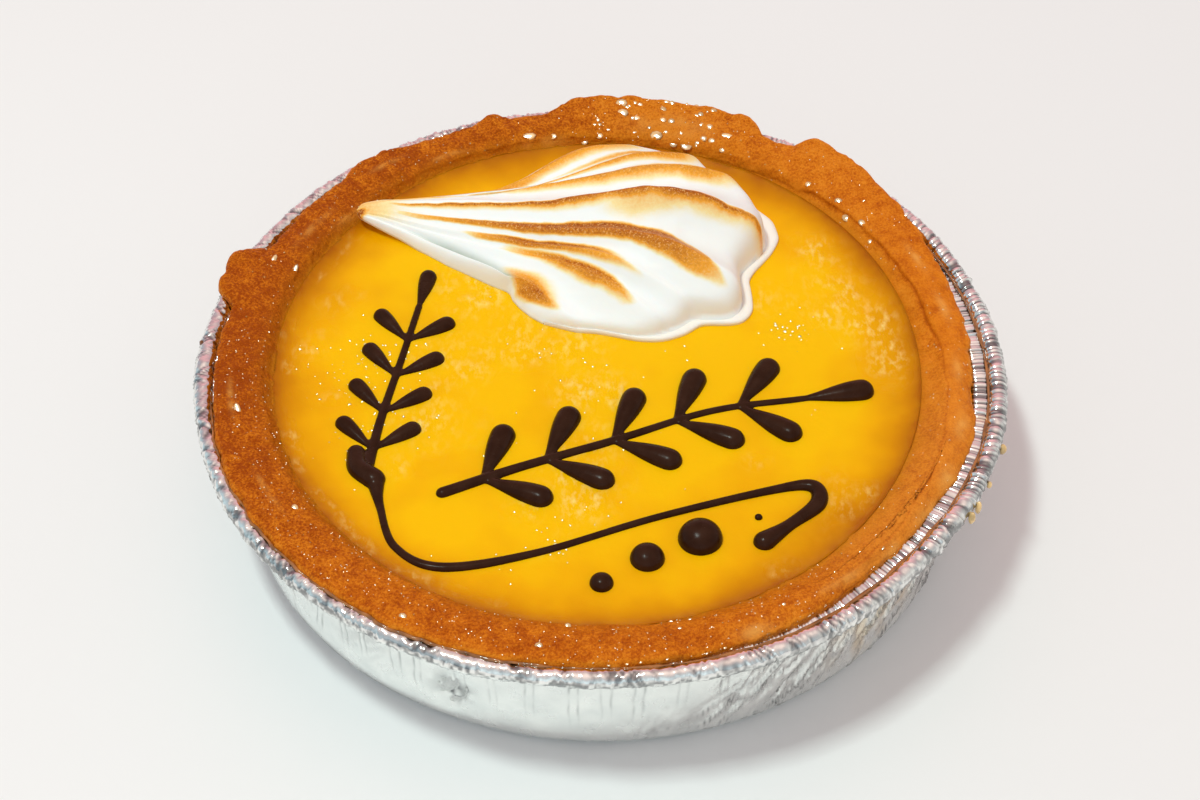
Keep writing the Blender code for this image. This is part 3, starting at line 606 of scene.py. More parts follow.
def finished_mesh(name, surface, modifiers):
    """The mesh that a stack of (kind, settings) modifiers makes of a surface."""
    guide = bpy.data.objects.new(name, mesh_of(name, surface))
    bpy.context.scene.collection.objects.link(guide)
    for kind, settings in modifiers:
        modifier = guide.modifiers.new(kind, kind)
        for key, value in settings.items():
            setattr(modifier, key, value)
    graph = bpy.context.evaluated_depsgraph_get()
    mesh = bpy.data.meshes.new_from_object(guide.evaluated_get(graph))
    bpy.data.objects.remove(guide, do_unlink=True)
    mesh.shade_smooth()
    return mesh


# ---------------------------------------------------------------- finishes


def add_node(tree, kind, values=(), **settings):
    """Add a node, set its options, and set or link its inputs from (input, value) pairs."""
    node = tree.nodes.new(kind)
    for key, value in settings.items():
        setattr(node, key, value)
    for socket, value in values:
        if isinstance(value, bpy.types.NodeSocket):
            tree.links.new(value, node.inputs[socket])
        else:
            node.inputs[socket].default_value = value
    return node


def new_finish(name, values):
    """A Principled material with its plain values set, and its tree."""
    material = bpy.data.materials.new(name)
    material.use_nodes = True
    for socket, value in values.items():
        material.node_tree.nodes["Principled BSDF"].inputs[socket].default_value = value
    return material, material.node_tree


def wired(material, colour, gloss=None, normal=None):
    """The material with its colour, roughness and normal linked."""
    tree = material.node_tree
    for socket, value in (("Base Color", colour), ("Roughness", gloss), ("Normal", normal)):
        if value is not None:
            tree.links.new(value, tree.nodes["Principled BSDF"].inputs[socket])
    return material


def object_noise(tree, scale, detail=2.0, roughness=0.5, stretch=None):
    """Noise on object coordinates. Scale is in waves to the metre."""
    place = add_node(tree, "ShaderNodeTexCoord").outputs["Object"]
    if stretch:
        turned = [("Vector", place), ("Scale", stretch)]
        place = add_node(tree, "ShaderNodeMapping", turned).outputs["Vector"]
    values = [("Vector", place), ("Scale", scale), ("Detail", detail), ("Roughness", roughness)]
    return add_node(tree, "ShaderNodeTexNoise", values).outputs["Fac"]


def attribute_of(tree, name):
    """A value stored at the piece's points."""
    return add_node(tree, "ShaderNodeAttribute", attribute_name=name).outputs["Fac"]


def mathed(tree, operation, first, second, clamp=False):
    """Two values joined by one operation."""
    values = enumerate((first, second))
    node = add_node(tree, "ShaderNodeMath", values, operation=operation, use_clamp=clamp)
    return node.outputs[0]


def times(tree, first, second):
    """Two values multiplied."""
    return mathed(tree, "MULTIPLY", first, second)


def ranged(tree, value, low, high, to_low, to_high):
    """A value moved from one range to another, and held inside it."""
    values = enumerate((value, low, high, to_low, to_high))
    return add_node(tree, "ShaderNodeMapRange", values).outputs[0]


def varied(tree, scale, to_low, to_high, low=0.3, high=0.7, **options):
    """Object noise, with the middle of its range moved to another range."""
    return ranged(tree, object_noise(tree, scale, **options), low, high, to_low, to_high)


def ramped(tree, value, *stops):
    """A colour read from (place, colour) stops."""
    node = add_node(tree, "ShaderNodeValToRGB", [(0, value)])
    elements = node.color_ramp.elements
    while len(elements) < len(stops):
        elements.new(0.5)
    for element, (place, colour) in zip(elements, stops):
        element.position = place
        element.color = (*colour, 1.0)
    return node.outputs[0]


def mixed(tree, share, first, second):
    """A linked colour mixed with a plain one by a share."""
    values = [(0, share), (6, first), (7, (*second, 1.0))]
    return add_node(tree, "ShaderNodeMix", values, data_type="RGBA").outputs[2]


def bumped(tree, height, distance, under=None):
    """A normal tipped by a height, with distance in mm."""
    values = [("Height", height), ("Distance", distance * MM)]
    if under is not None:
        values.append(("Normal", under))
    return add_node(tree, "ShaderNodeBump", values).outputs[0]


def foil_finish(name, settings, roughness):
    """Bright rolled foil: soft cloudy gloss, fine rolling lines, painted shade in its creases and under
    the bead, and a faint film of syrup that on the wall also paints a brownish reflection."""
    material, tree = new_finish(name, {"Metallic": 1.0})
    clouds = object_noise(tree, 260.0, detail=3.0)
    tint = ramped(tree, clouds, (0.3, settings.shade), (0.7, settings.colour))
    tint = mixed(tree, attribute_of(tree, "film"), tint, settings.film_and_reflection_colour)
    tint = mixed(tree, attribute_of(tree, "crease"), tint, settings.crease_shade_colour)
    gloss = varied(tree, 420.0, 0.6 * roughness, roughness)
    return wired(material, tint, gloss, bumped(tree, object_noise(tree, 2600.0, detail=3.0), 0.012))


def pastry_finish(settings):
    """Baked crumb: light orange to deep brown by how it is baked, with painted shade in its crack and
    pits and painted light on its edge's outer face, specked by its grain, and paler where a painted sheen
    lies.
    """
    material, tree = new_finish("pastry", {"Specular IOR Level": 0.07})
    rough = attribute_of(tree, "rough")
    grain = object_noise(tree, 2900.0, detail=4.0, roughness=0.7)
    speck = times(tree, ranged(tree, grain, 0.36, 0.64, -0.42, 0.42), rough)
    bake = mathed(tree, "ADD", attribute_of(tree, "bake"), speck)
    depth = mathed(tree, "ADD", bake, varied(tree, 700.0, -0.16, 0.16), clamp=True)
    colour = ramped(
        tree, depth, (0.0, settings.light), (0.35, settings.middle), (0.65, settings.brown),
        (1.0, settings.dark))
    colour = mixed(tree, attribute_of(tree, "haze"), colour, settings.haze)
    colour = mixed(tree, attribute_of(tree, "join"), colour, settings.join)
    gloss = varied(tree, 900.0, 0.3, 0.6, low=0.35)
    return wired(material, colour, gloss, bumped(tree, times(tree, grain, rough), 0.3))


def curd_finish(settings):
    """Set curd: clear yellow gel that goes amber towards the case, darkest where it meets the case,
    partly as painted shade, with a wet skin that is shinier where it wrinkles and paler there as a
    painted sheen."""
    material, tree = new_finish("curd", {
        "Subsurface Weight": 0.3,
        "Subsurface Scale": 1.5 * MM,
        "Subsurface Radius": (1.0, 0.6, 0.1),
        "Specular IOR Level": 0.09,
    })
    wrinkle = attribute_of(tree, "wrinkle")
    cloud = varied(tree, 90.0, -0.1, 0.1, low=0.35, high=0.65)
    depth = mathed(tree, "ADD", attribute_of(tree, "edge"), cloud, clamp=True)
    colour = ramped(
        tree, depth, (0.0, settings.colour), (0.2, settings.ring_colour), (0.55, settings.edge_colour),
        (1.0, settings.rim_amber_and_shade_colour))
    lines = object_noise(tree, 950.0, detail=4.0, roughness=0.6, stretch=(1.0, 0.55, 1.0))
    # Painted sheen: the skin is paler along its wrinkles.
    wrinkle_sheen = times(tree, ranged(tree, lines, 0.47, 0.72, 0.0, 0.75), wrinkle)
    colour = mixed(tree, wrinkle_sheen, colour, settings.wrinkle_sheen_colour)
    gloss = ranged(tree, wrinkle, 0.0, 1.0, 0.28, 0.16)
    skin = bumped(tree, object_noise(tree, 900.0, detail=3.0), 0.03)
    return wired(material, colour, gloss, bumped(tree, times(tree, lines, wrinkle), 0.3, skin))


def chocolate_finish(settings):
    """Dark piped chocolate with a soft shine and a trace of bloom."""
    material, tree = new_finish("chocolate", {"Specular IOR Level": 0.1})
    bloom = object_noise(tree, 500.0, detail=3.0)
    tint = ramped(tree, bloom, (0.35, settings.colour), (0.7, settings.bloom_colour))
    grain = bumped(tree, object_noise(tree, 1800.0, detail=3.0), 0.02)
    return wired(material, tint, varied(tree, 900.0, 0.18, 0.3), grain)


def meringue_finish(settings):
    """Glossy white meringue, torched gold to brown along its ridges, with painted glints of melted sugar
    where it browned and painted shade down the fold beside its front lobe.
    """
    material, tree = new_finish("meringue", {
        "Subsurface Weight": 0.25,
        "Subsurface Scale": 1.2 * MM,
        "Subsurface Radius": (1.0, 0.75, 0.6),
        "Specular IOR Level": 0.12,
    })
    toast = attribute_of(tree, "toast")
    speck = varied(tree, 2600.0, -0.2, 0.2, detail=4.0, roughness=0.7)
    browned = mathed(tree, "ADD", toast, times(tree, speck, toast), clamp=True)
    colour = ramped(
        tree, browned, (0.0, settings.colour), (0.14, settings.cream), (0.4, settings.gold),
        (0.78, settings.brown), (1.0, settings.dark))
    # Painted glints of melted sugar where the shell is browned.
    glitter = varied(tree, 3900.0, 0.0, 0.6, low=0.58, high=0.66, detail=1.0)
    colour = mixed(tree, times(tree, glitter, toast), colour, settings.sugar_glint)
    colour = mixed(tree, attribute_of(tree, "thin"), colour, settings.lip)
    # Painted shade down in the fold beside the front lobe.
    colour = mixed(tree, attribute_of(tree, "fold"), colour, settings.fold)
    gloss = ranged(tree, toast, 0.1, 0.6, 0.5, 0.34)
    fine = bumped(tree, object_noise(tree, 900.0, detail=4.0), 0.03)
    crystals = times(tree, object_noise(tree, 3000.0), toast)
    return wired(material, colour, gloss, bumped(tree, crystals, 0.25, fine))


def syrup_finish(name, colour):
    """Thin glossy syrup."""
    material, tree = new_finish(name, {"Coat Weight": 0.6, "Coat Roughness": 0.08})
    darker = tuple(0.5 * channel for channel in colour)
    tint = ramped(tree, object_noise(tree, 600.0), (0.35, darker), (0.65, colour))
    return wired(material, tint, varied(tree, 1500.0, 0.08, 0.2))


# ---------------------------------------------------------------- foil tin


def push_in(bearings, heights):
    """How far the rim is pushed in: a squared sine over the bearings of the push, and the
    square of the height's share of the bead's height."""
    close = beside(bearings, PUSH_BEARING, 1.0, PUSH_HALF_WIDTH)
    return PUSH_DEPTH * np.sin(0.5 * np.pi * close) ** 2 * held(heights / BEAD_HEIGHT) ** 2


def pushed(grid, bearings):
    """A grid with the rim's push taken out of its radii."""
    reach = np.hypot(grid[..., 0], grid[..., 1])
    share = 1.0 - push_in(bearings, grid[..., 2]) / np.maximum(reach, 1.0)
    return grid * np.stack([share, share, np.ones_like(share)], axis=-1)


def carried_round(rows, columns):
    """A section's (radius, height) rows carried round the tin: the bearings, and the radii,
    heights and points at each of them."""
    bearings = np.arange(columns) * 360.0 / columns
    radii = rows[:, :1] + np.zeros(columns)
    heights = rows[:, 1:] + np.zeros(columns)
    return bearings, radii, heights, revolved(radii, heights, bearings)


def tin_rim_surface(settings):
    """The flange and the rolled bead: a closed section carried round the tin. Its relief is one crimped
    line on the bead and a finer one on the flange, slanted along the section, with the bead crumpled in
    front. Its crease value is painted shade in the crimps' hollows and in dark dashes under the bead's
    curl."""
    bead_radius = settings.bead_radius / MM
    centre = (settings.radius / MM - bead_radius, BEAD_HEIGHT)
    section = [*FLANGE_UNDERSIDE, *arc(centre, bead_radius, -150.0, 165.0, BEAD_POINTS), *FLANGE_TOP]
    section = np.array(section + section[:1])
    rows = (curve_weights(len(section), RIM_STEPS) @ section)[:-1]
    bearings, radii, heights, grid = carried_round(rows, RIM_COLUMNS)
    turn = np.degrees(np.arctan2(heights - centre[1], radii - centre[0]))
    leaning = 0.5 - 0.5 * np.cos(np.radians(bearings - 20.0))
    slant = (0.1 + 0.7 * leaning) * np.radians(turn) * bead_radius
    wander = 0.35 * noise(grid, 2.2, 11) + np.degrees(slant / radii)
    on_bead = eased(held((radii - 52.5) / 0.5))
    ribs = crimped(bearings + wander, BEAD_CRIMPS, 1)
    ribs = ribs + 0.7 * crimped(bearings - wander, BEAD_WIDE_CRIMPS, 2)
    pleats = crimped(bearings + 0.4 * wander, FLANGE_CRIMPS, 3)
    pleats = pleats + 0.7 * crimped(bearings, FLANGE_WIDE_CRIMPS, 4)
    faint = np.clip(0.9 + 0.6 * noise(grid[:1], 4.0, 16), 0.45, 1.3)
    faint = faint * (1.0 - 0.5 * near(bearings, -95.0, 38.0))
    front = near(bearings, -122.0, 46.0)
    crumple = (0.2 + 0.55 * front) * grains(grid, ((1.7, 1.0), (0.8, 0.7)), 17)
    crimps = faint * (on_bead * ribs + (1.0 - on_bead) * pleats) + crumple * on_bead
    relief = settings.crimp_depth / MM * crimps + 0.12 * noise(grid, 9.0, 12) * on_bead
    grid = raised(grid, relief)
    grid[..., 2] += grains(grid[:1], ((16.0, 0.12), (5.0, 0.05)), 13)
    grid = pushed(grid, bearings)
    right = beside(bearings, -15.0, 1.2, 50.0)
    film = np.clip(noise(grid, 2.5, 15) * 1.6 - 0.6, 0.0, 0.35) * (1.0 - on_bead) * right
    # Painted shade: dark in the crimps' hollows, more so on the right.
    crease = 0.9 * eased(held(0.1 + 0.2 * right - 1.5 * crimps))
    # Painted shade in dashes under the bead's curl, where it turns down and away from the light.
    limit = 18.0 + 38.0 * np.maximum(right, 0.9 * front)
    under = eased(held((limit - turn) / 30.0)) * on_bead * (np.abs(turn) < 90.0)
    under = under * (1.0 - front * eased(held((-18.0 - turn) / 20.0)))
    dashes = 0.6 + 0.3 * right - 0.45 * front + 1.9 * noise(grid * (1.0, 1.0, 2.2), 0.5, 19)
    crease = np.maximum(crease, under * np.clip(dashes, 0.0, 0.9))
    return lofted(grid, ring=True, film=film, crease=crease)


def wall_pleats():
    """The creases of the wall: rows of (bearing, middle height, half length, slant, width,
    depth). Pairs of upright grooves in front, slanted creases to the right, and both
    elsewhere."""
    draw = np.random.default_rng(21).uniform
    pleats = []
    for bearing in np.arange(-128.0, -66.0, 5.6):
        start = (bearing + draw(-1.2, 1.2), draw(12.0, 13.5), draw(4.0, 6.0), 0.0)
        pleats.append((*start, draw(0.9, 1.4), draw(0.05, 0.13)))
    for bearing in np.arange(-73.0, -22.0, 0.75):
        spans = ((3.0, 17.0), (1.2, 4.0), (0.4, 1.7), (0.35, 1.0), (0.1, 0.26))
        pleats.append((bearing, *[draw(*span) for span in spans]))
    for bearing in np.arange(-22.0, 230.0, 4.1):
        upright = draw() < 0.6
        start = (bearing + draw(-1.5, 1.5), draw(8.0, 14.0), draw(2.5, 6.0))
        slant = 0.0 if upright else draw(-0.5, 0.5)
        pleats.append((*start, slant, draw(0.7, 1.3), draw(0.08, 0.2)))
    return pleats


def wall_relief(bearings, heights, grid):
    """How far the wall stands out, and how sharply it is creased. An upright pleat is a pair of narrow
    grooves, each a bell across its line; a slanted one is a low flat between two steep steps, the steps
    being hyperbolic tangents. Both fade above and below their middles. The crease value is painted shade
    down the creases: a bell across each groove or step, and darker in a sunken patch."""
    relief = grains(grid, ((15.0, 0.16), (4.0, 0.05), (1.2, 0.015)), 22)
    crease = np.zeros_like(relief)
    for bearing, middle, half, slant, width, depth in wall_pleats():
        close = np.abs(off_bearing(bearings, bearing)) < 14.0
        up = heights[:, close] - middle
        across = np.radians(off_bearing(bearings[close], bearing)) * 50.0 - slant * up
        across = across + 0.2 * noise(grid[:, close], 2.2, 25)
        fade = bell(up / half, 4)
        line = bell((np.abs(across) - 0.5 * width) / 0.16)
        shape = -2.0 * line
        if slant:
            shape = np.tanh((across + 0.5 * width) / 0.13) - np.tanh((across - 0.5 * width) / 0.13)
        relief[:, close] += 0.5 * depth * shape * fade
        crease[:, close] = np.maximum(crease[:, close], line * fade * min(1.0, 5.5 * depth))
    crease = crease * held(0.6 + 0.7 * noise(grid, 1.5, 27))
    for bearing, height, half_length, half_height, sink, depth in CRINKLES:
        across = np.radians(off_bearing(bearings, bearing)) * 50.0
        patch = bell(np.hypot(across / half_length, (heights - height) / half_height))
        level = np.full_like(heights, bearing)
        lean = np.stack([0.25 * (across + heights), 0.7 * (heights - across), level], axis=-1)
        lean = lean + 0.3 * noise(grid, 1.5, 30)[..., None]
        folds = 1.0 - 2.2 * np.abs(noise(lean, 1.3, 28)) - 1.6 * np.abs(noise(lean, 0.6, 29))
        relief = relief + patch * (depth * folds - sink)
        # Painted shade in the sunken dent and along its folds.
        dark = 1.7 * sink * np.clip(0.5 + 1.6 * noise(grid, 0.9, 20), 0.0, 1.1)
        crease = np.maximum(crease, patch * np.maximum(dark, np.clip(-0.5 * folds, 0.0, 0.25)))
    return relief, crease


def tin_wall_surface(settings):
    """The wall and base: a section from inside the flange straight down the outside, across
    the base and up the inside, carried round the tin with the wall's relief on it."""
    corner = (BASE_RADIUS, CORNER_RADIUS)
    foot = (BASE_RADIUS + CORNER_RADIUS, CORNER_RADIUS)
    rows = [(51.5, 19.45), (51.05, 18.85), *np.linspace(WALL_TOP, foot, WALL_ROWS, endpoint=False)]
    rows += arc(corner, CORNER_RADIUS, 0.0, -90.0, 5)
    rows += [(30.0, 0.0), (3.0, 0.0), (3.0, 0.12), (30.0, 0.12)]
    rows += arc(corner, CORNER_RADIUS - FOIL, -90.0, 0.0, 3)
    rows += [(WALL_TOP[0] - FOIL, WALL_TOP[1]), (51.2, 19.5)]
    rows = np.array([tuple(row) for row in rows])
    bearings, _radii, heights, grid = carried_round(rows, WALL_COLUMNS)
    fade = eased(held(heights / 4.0)) * eased(held((19.6 - heights) / 1.5))
    relief, crease = wall_relief(bearings, heights, grid)
    reach = np.hypot(grid[..., 0], grid[..., 1])
    grid[..., :2] *= (1.0 + settings.pleat_scale * relief * fade / reach)[..., None]
    grid = pushed(grid, bearings)
    # Syrup smears, and a painted brownish reflection low on the wall's front right.
    smear_and_reflection = np.zeros_like(heights)
    for bearing, height, half_width, half_height, depth in SMEARS_AND_REFLECTION:
        across = off_bearing(bearings, bearing) / half_width
        smear_and_reflection += depth * bell(np.hypot(across, (heights - height) / half_height))
    film = np.clip(smear_and_reflection * (0.3 + 0.8 * noise(grid, 1.6, 26)), 0.0, 0.45)
    return lofted(grid, ring=True, film=film, crease=crease * fade)


# ---------------------------------------------------------------- pastry case


def well_radius(bearings):
    """The curd's radius at its surface: a circle shifted a little and drawn out front to back."""
    angles = np.radians(bearings)
    shift = CURD_SIDE_SHIFT * (np.sin(angles) - np.cos(angles))
    return CURD_RADIUS + shift - CURD_OVAL * np.cos(2.0 * angles)


def rim_edge(bearings):
    """The rim's outer radius and height, crags included. A crag swells to its top and falls
    from it as a quarter sine."""
    radii = around(EDGE_RADII, bearings)
    heights = around(EDGE_HEIGHTS, bearings)
    for start, top, top_end, end, reach, rise in CRAGS:
        away = off_bearing(bearings, top)
        share = np.minimum((away + top - start) / (top - start), (end - top - away) / (end - top_end))
        share = np.sin(0.5 * np.pi * held(share))
        radii = radii + share * reach
        heights = heights + share * rise
    return radii, heights


def ragged_edge(bearings):
    """The rim's outer radius and height with small noise on both."""
    edge, top = rim_edge(bearings)
    place = revolved(edge, 0.0, bearings)
    edge = edge + 0.3 * noise(place, 2.4, 32) + 0.14 * noise(place, 0.9, 33)
    return edge, top + 0.12 * noise(place, 3.0, 34)


def clear_of_tin(radii):
    """The lowest height that keeps clear of the flange and rests on the bead."""
    away = np.maximum(0.0, BEAD_CENTRE - radii)
    above_bead = BEAD_HEIGHT + np.sqrt(np.maximum(BEAD_RADIUS**2 - away**2, 0.0))
    return np.where(away >= 0.95 * BEAD_RADIUS, FLANGE[1] + 0.8, above_bead)


def crust_profile(bearings):
    """The case's section at each bearing, from near the middle of its floor, up the well, over
    the rim and down to its underside, as (points, columns, 2) radii and heights."""
    well = well_radius(bearings) + GAP
    inner = well + around(SLOPE_WIDTHS, bearings)
    inner = inner + 0.22 * noise(revolved(inner, 0.0, bearings), 2.6, 31)
    hollow = around(SLOPE_HOLLOWS, bearings)
    lip = CURD_HEIGHT + CURD_CREEP
    base = well - WELL_TAPER
    section = [(MIDDLE_RADIUS, FLOOR_HEIGHT), (base - WELL_CHAMFER, FLOOR_HEIGHT)]
    section += [(base, FLOOR_HEIGHT + WELL_CORNER), (well - 0.2, lip - 1.6)]
    for share in (0.0, 0.25, 0.5, 0.75, 0.9):
        rise = lip - 0.25 + (RIM_HEIGHT - lip + 0.25) * share**hollow
        section.append((well + (inner - well) * share, rise))
    edge, top = ragged_edge(bearings)
    start = inner + 0.5 * RIM_ROUNDING
    stop = edge - RIM_ROUNDING
    for share in (0.0, 0.12, 0.35, 0.6, 0.85, 1.0):
        rise = RIM_HEIGHT + (top - RIM_HEIGHT) * share + RIM_CROWN * np.sin(np.pi * share)
        section.append((start + (stop - start) * share, rise))
    shoulder = top - RIM_ROUNDING
    foot = np.minimum(edge, FLANGE[0] - GAP)
    widest = np.maximum.reduce([rim_edge(bearings + step)[0] for step in (-3.0, 0.0, 3.0)])
    section.append((edge, shoulder))
    section.append((edge - 0.02, np.minimum(shoulder - 0.15, clear_of_tin(edge))))
    for share in (0.35, 0.7, 1.0):
        radius = edge + (foot - edge) * share
        floor = clear_of_tin(widest + (foot - widest) * share)
        floor = np.maximum(clear_of_tin(radius), floor)
        section.append((radius, np.maximum(shoulder + (BEAD_HEIGHT - shoulder) * share, floor)))
    outer = WALL_TOP[0] - FOIL - GAP
    section += [(np.minimum(foot, outer + 0.25), FLANGE[1] + 0.2), (outer, WALL_TOP[1])]
    section += arc((BASE_RADIUS, CORNER_RADIUS), CORNER_RADIUS - FOIL - GAP, 0.0, -90.0, 4)
    section.append((MIDDLE_RADIUS, FOIL + GAP))
    return np.array([np.broadcast_arrays(*point, bearings)[:2] for point in section]).swapaxes(1, 2)


def crust_surface(settings):
    """The case: its section carried round at each bearing, with crumb, pits, soft lumps and the crack
    worked into its normals where it shows. The crack is a bell across its line. Its bake value also
    carries painted shade in the crack and the pits and painted light on the edge's outer face, and its
    haze a painted sheen."""
    bearings = np.arange(CRUST_COLUMNS) * 360.0 / CRUST_COLUMNS
    profile = crust_profile(bearings)
    steps = CRUST_STEPS + (1,) * (len(profile) - 1 - len(CRUST_STEPS))
    rows = np.tensordot(curve_weights(len(profile), steps), profile, axes=1)
    radii, heights = rows[..., 0], rows[..., 1]
    radii = radii - push_in(bearings, heights) * (radii > 48.0)
    grid = revolved(radii, heights, bearings)
    shown = held((heights - 19.6) / 0.8) * (np.arange(len(rows)) > 3)[:, None]
    wander = 0.16 * noise(revolved(47.0, 0.0, bearings), 2.2, 45) + 0.08 * noise(grid, 0.6, 46)
    line = around(CRACK, bearings)
    crack = around(CRACK, bearings, 2) * bell((radii - line - wander) / CRACK_HALF_WIDTH)
    on_crown = radii > line
    rough = 1.0 - beside(bearings, 5.0, 1.25, 60.0) * (0.4 + 0.2 * on_crown)
    rough = rough - 0.3 * near(bearings, -90.0, 45.0)
    lumps = 0.14 * noise(grid, 6.0, 35) + rough * grains(grid, ((2.4, 0.1), (1.1, 0.08), (0.5, 0.07)), 36)
    pits = 0.4 * rough * held(noise(grid, 0.7, 41) - 0.4)
    grid = raised(grid, settings.crumb_depth * (lumps - pits) * shown - CRACK_DEPTH * crack)
    radii = np.hypot(grid[..., 0], grid[..., 1])
    across = held((radii - well_radius(bearings)) / 8.0)
    wet = beside(bearings, 45.0, 1.3, 40.0) * (1.0 - on_crown)
    bake = around(BAKE_KEYS, bearings) + grains(grid, ((5.0, 0.1), (1.6, 0.14)), 42)
    # Painted shade darkens the crack and the pits.
    bake += 0.06 * bell(across / 0.16) - 0.08 * across + 0.42 * crack + 0.5 * pits - 0.2 * wet
    streaks = np.stack(np.broadcast_arrays(bearings * 0.82, radii * 0.16, 0.0), axis=-1)
    bake += 0.16 * noise(streaks, 0.8, 47) * near(bearings, 137.0, 28.0)
    # Painted light: the edge's outer face, which falls in shade, is made paler.
    bake -= 0.3 * held((radii - rim_edge(bearings)[0] + 0.5) / 0.5)
    # Painted sheen: a pale band on the right and pale patches.
    haze = 0.15 * near(bearings, -28.0, 26.0) + np.zeros_like(radii)
    broken = 0.7 * np.clip(0.7 + 0.8 * noise(grid, 1.2, 44), 0.0, 1.2)
    for bearing, radius, half_length, half_width in HAZE_PATCHES:
        along = np.radians(off_bearing(bearings, bearing)) * radius / half_length
        haze += broken * bell(np.hypot(along, (radii - radius) / half_width))
    away = np.maximum(0.0, radii - well_radius(bearings) - GAP)
    join = np.exp(-away / 1.1) * held(0.85 + 0.5 * noise(grid, 1.4, 37))
    return lofted(grid, bake=bake, haze=held(haze), rough=rough, join=join)


def glaze_surface(crust):
    """Flattened drops of glaze, each on the crust's highest point at its bearing and radius
    with its broad face tilted to throw the light forwards, and many tiny ones besides."""
    draw = np.random.default_rng(48)
    left = draw.uniform(size=TINY_DROPS) < 0.6
    spans = [draw.uniform(*span, TINY_DROPS) for span in ((-185.0, -50.0), (-50.0, 175.0))]
    bearings = np.where(left, *spans)
    radii = well_radius(bearings) + draw.uniform(0.6, 7.5, TINY_DROPS)
    size = draw.uniform(0.05, 0.12, TINY_DROPS)
    cluster = draw.uniform((66.0, 47.2, 0.2, 0.18), (93.0, 54.0, 0.45, 0.32), (16, 4))
    drops = GLAZE_DROPS * np.array((1.0, 1.0, DROP_SWELL, DROP_SWELL))
    drops = np.concatenate([drops, cluster, np.stack([bearings, radii, size, size], axis=1)])
    rows = crust.points[:-2].reshape(-1, CRUST_COLUMNS, 3)[4:-12]
    columns = np.round(drops[:, 0] / 360.0 * CRUST_COLUMNS).astype(int) % CRUST_COLUMNS
    ahead = rows[:, columns]
    away = np.abs(np.hypot(ahead[..., 0], ahead[..., 1]) - drops[:, 1])
    places = ahead[np.argmin(away - 0.2 * ahead[..., 2], axis=0), np.arange(len(drops))]
    sizes = np.column_stack([drops[:, 2:], DROP_THINNESS * drops[:, 3]])
    return tilted_drops(places, sizes, np.radians(drops[:, 0] + 90.0), 49)


def tilted_drops(places, sizes, headings, seed):
    """Drops at places, each of its own (along, across, thick) half sizes, heading along a
    bearing and tilted so that its thin way points nearly halfway from the light to the eye."""
    draw = np.random.default_rng(seed)
    up = draw.normal(0.0, 0.02, (len(places), 3))
    for far in (LIGHT_PLACE, EYE_PLACE):
        ray = np.array(far) - places
        up += 0.5 * ray / np.linalg.norm(ray, axis=1, keepdims=True)
    up /= np.linalg.norm(up, axis=1, keepdims=True)
    along = np.stack([np.cos(headings), np.sin(headings), 0.0 * headings], axis=1)
    along -= up * np.einsum("ij,ij->i", along, up)[:, None]
    along /= np.linalg.norm(along, axis=1, keepdims=True)
    axes = (along, np.cross(up, along), up)
    drop = ball(5, 8)
    points = drop.points[None] * sizes[:, None]
    points = sum(points[..., i:i + 1] * axis[:, None] for i, axis in enumerate(axes))
    return copies(drop, points + (places + 0.3 * sizes[:, 2:] * up)[:, None])


# ---------------------------------------------------------------- lemon curd


def wrinkled(points):
    """How wrinkled the curd's skin is, from 0 to 1: a bell curve about the middle of each
    patch, broken up by noise."""
    weight = np.zeros(points.shape[:-1])
    for x, y, radius, depth in WRINKLE_PATCHES:
        weight += depth * bell(np.hypot(points[..., 0] - x, points[..., 1] - y) / radius)
    return held(weight * (0.75 + 0.9 * noise(points, 2.2, 53)))


def curd_surface(settings):
    """The curd: a level disc with slow swells and folded wrinkles that creeps up the case at
    its edge, over a tapered side and a flat underside."""
    bearings = np.arange(CURD_COLUMNS) * 360.0 / CURD_COLUMNS
    well = well_radius(bearings) + GAP + 0.25
    radii = (1.0 - (1.0 - np.linspace(0.02, 1.0, CURD_ROWS)) ** 1.15)[:, None] * well
    away = well - radii
    top = revolved(radii, CURD_HEIGHT + CURD_CREEP * bell(away / 1.3, 1.4), bearings)
    calm = eased(held(away / 2.5))
    wrinkle = wrinkled(top)
    folds = 1.0 - 2.0 * np.abs(noise(top * (1.0, 0.5, 1.0), 1.1, 51))
    swells = grains(top, ((13.0, 0.1), (5.0, 0.05), (2.0, 0.014)), 54)
    top[..., 2] += calm * (swells + settings.wrinkle_depth / MM * wrinkle * folds)
    under = FLOOR_HEIGHT + 1.2 * GAP
    sides = [(well - 0.6, CURD_HEIGHT - 0.6), (well - WELL_TAPER - 0.3, under + WELL_CORNER)]
    sides += [(well - WELL_TAPER - WELL_CHAMFER, under), (MIDDLE_RADIUS, under)]
    sides = np.stack([revolved(radius, height, bearings) for radius, height in sides])
    edge = np.exp(-away / around(EDGE_FADES, bearings))
    edge = held(edge * (1.0 + grains(top, ((2.6, 0.1), (0.9, 0.06)), 55)))
    ring = np.stack(np.broadcast_arrays(bearings * 0.3, away * 1.4, 0.0), axis=-1)
    streaks = np.clip(1.2 * noise(ring, 1.1, 57), 0.0, 0.55)
    streaks = streaks * bell((away - 1.6) / 1.3) * near(bearings, -160.0, 55.0)
    plain = np.zeros((len(sides), CURD_COLUMNS))
    edge = np.concatenate([edge, plain + 1.0])
    # The skin value also sets where the painted sheen is pale.
    skin = np.concatenate([np.maximum(wrinkle * calm, streaks), plain])
    return lofted(np.concatenate([top, sides]), edge=edge, wrinkle=skin)


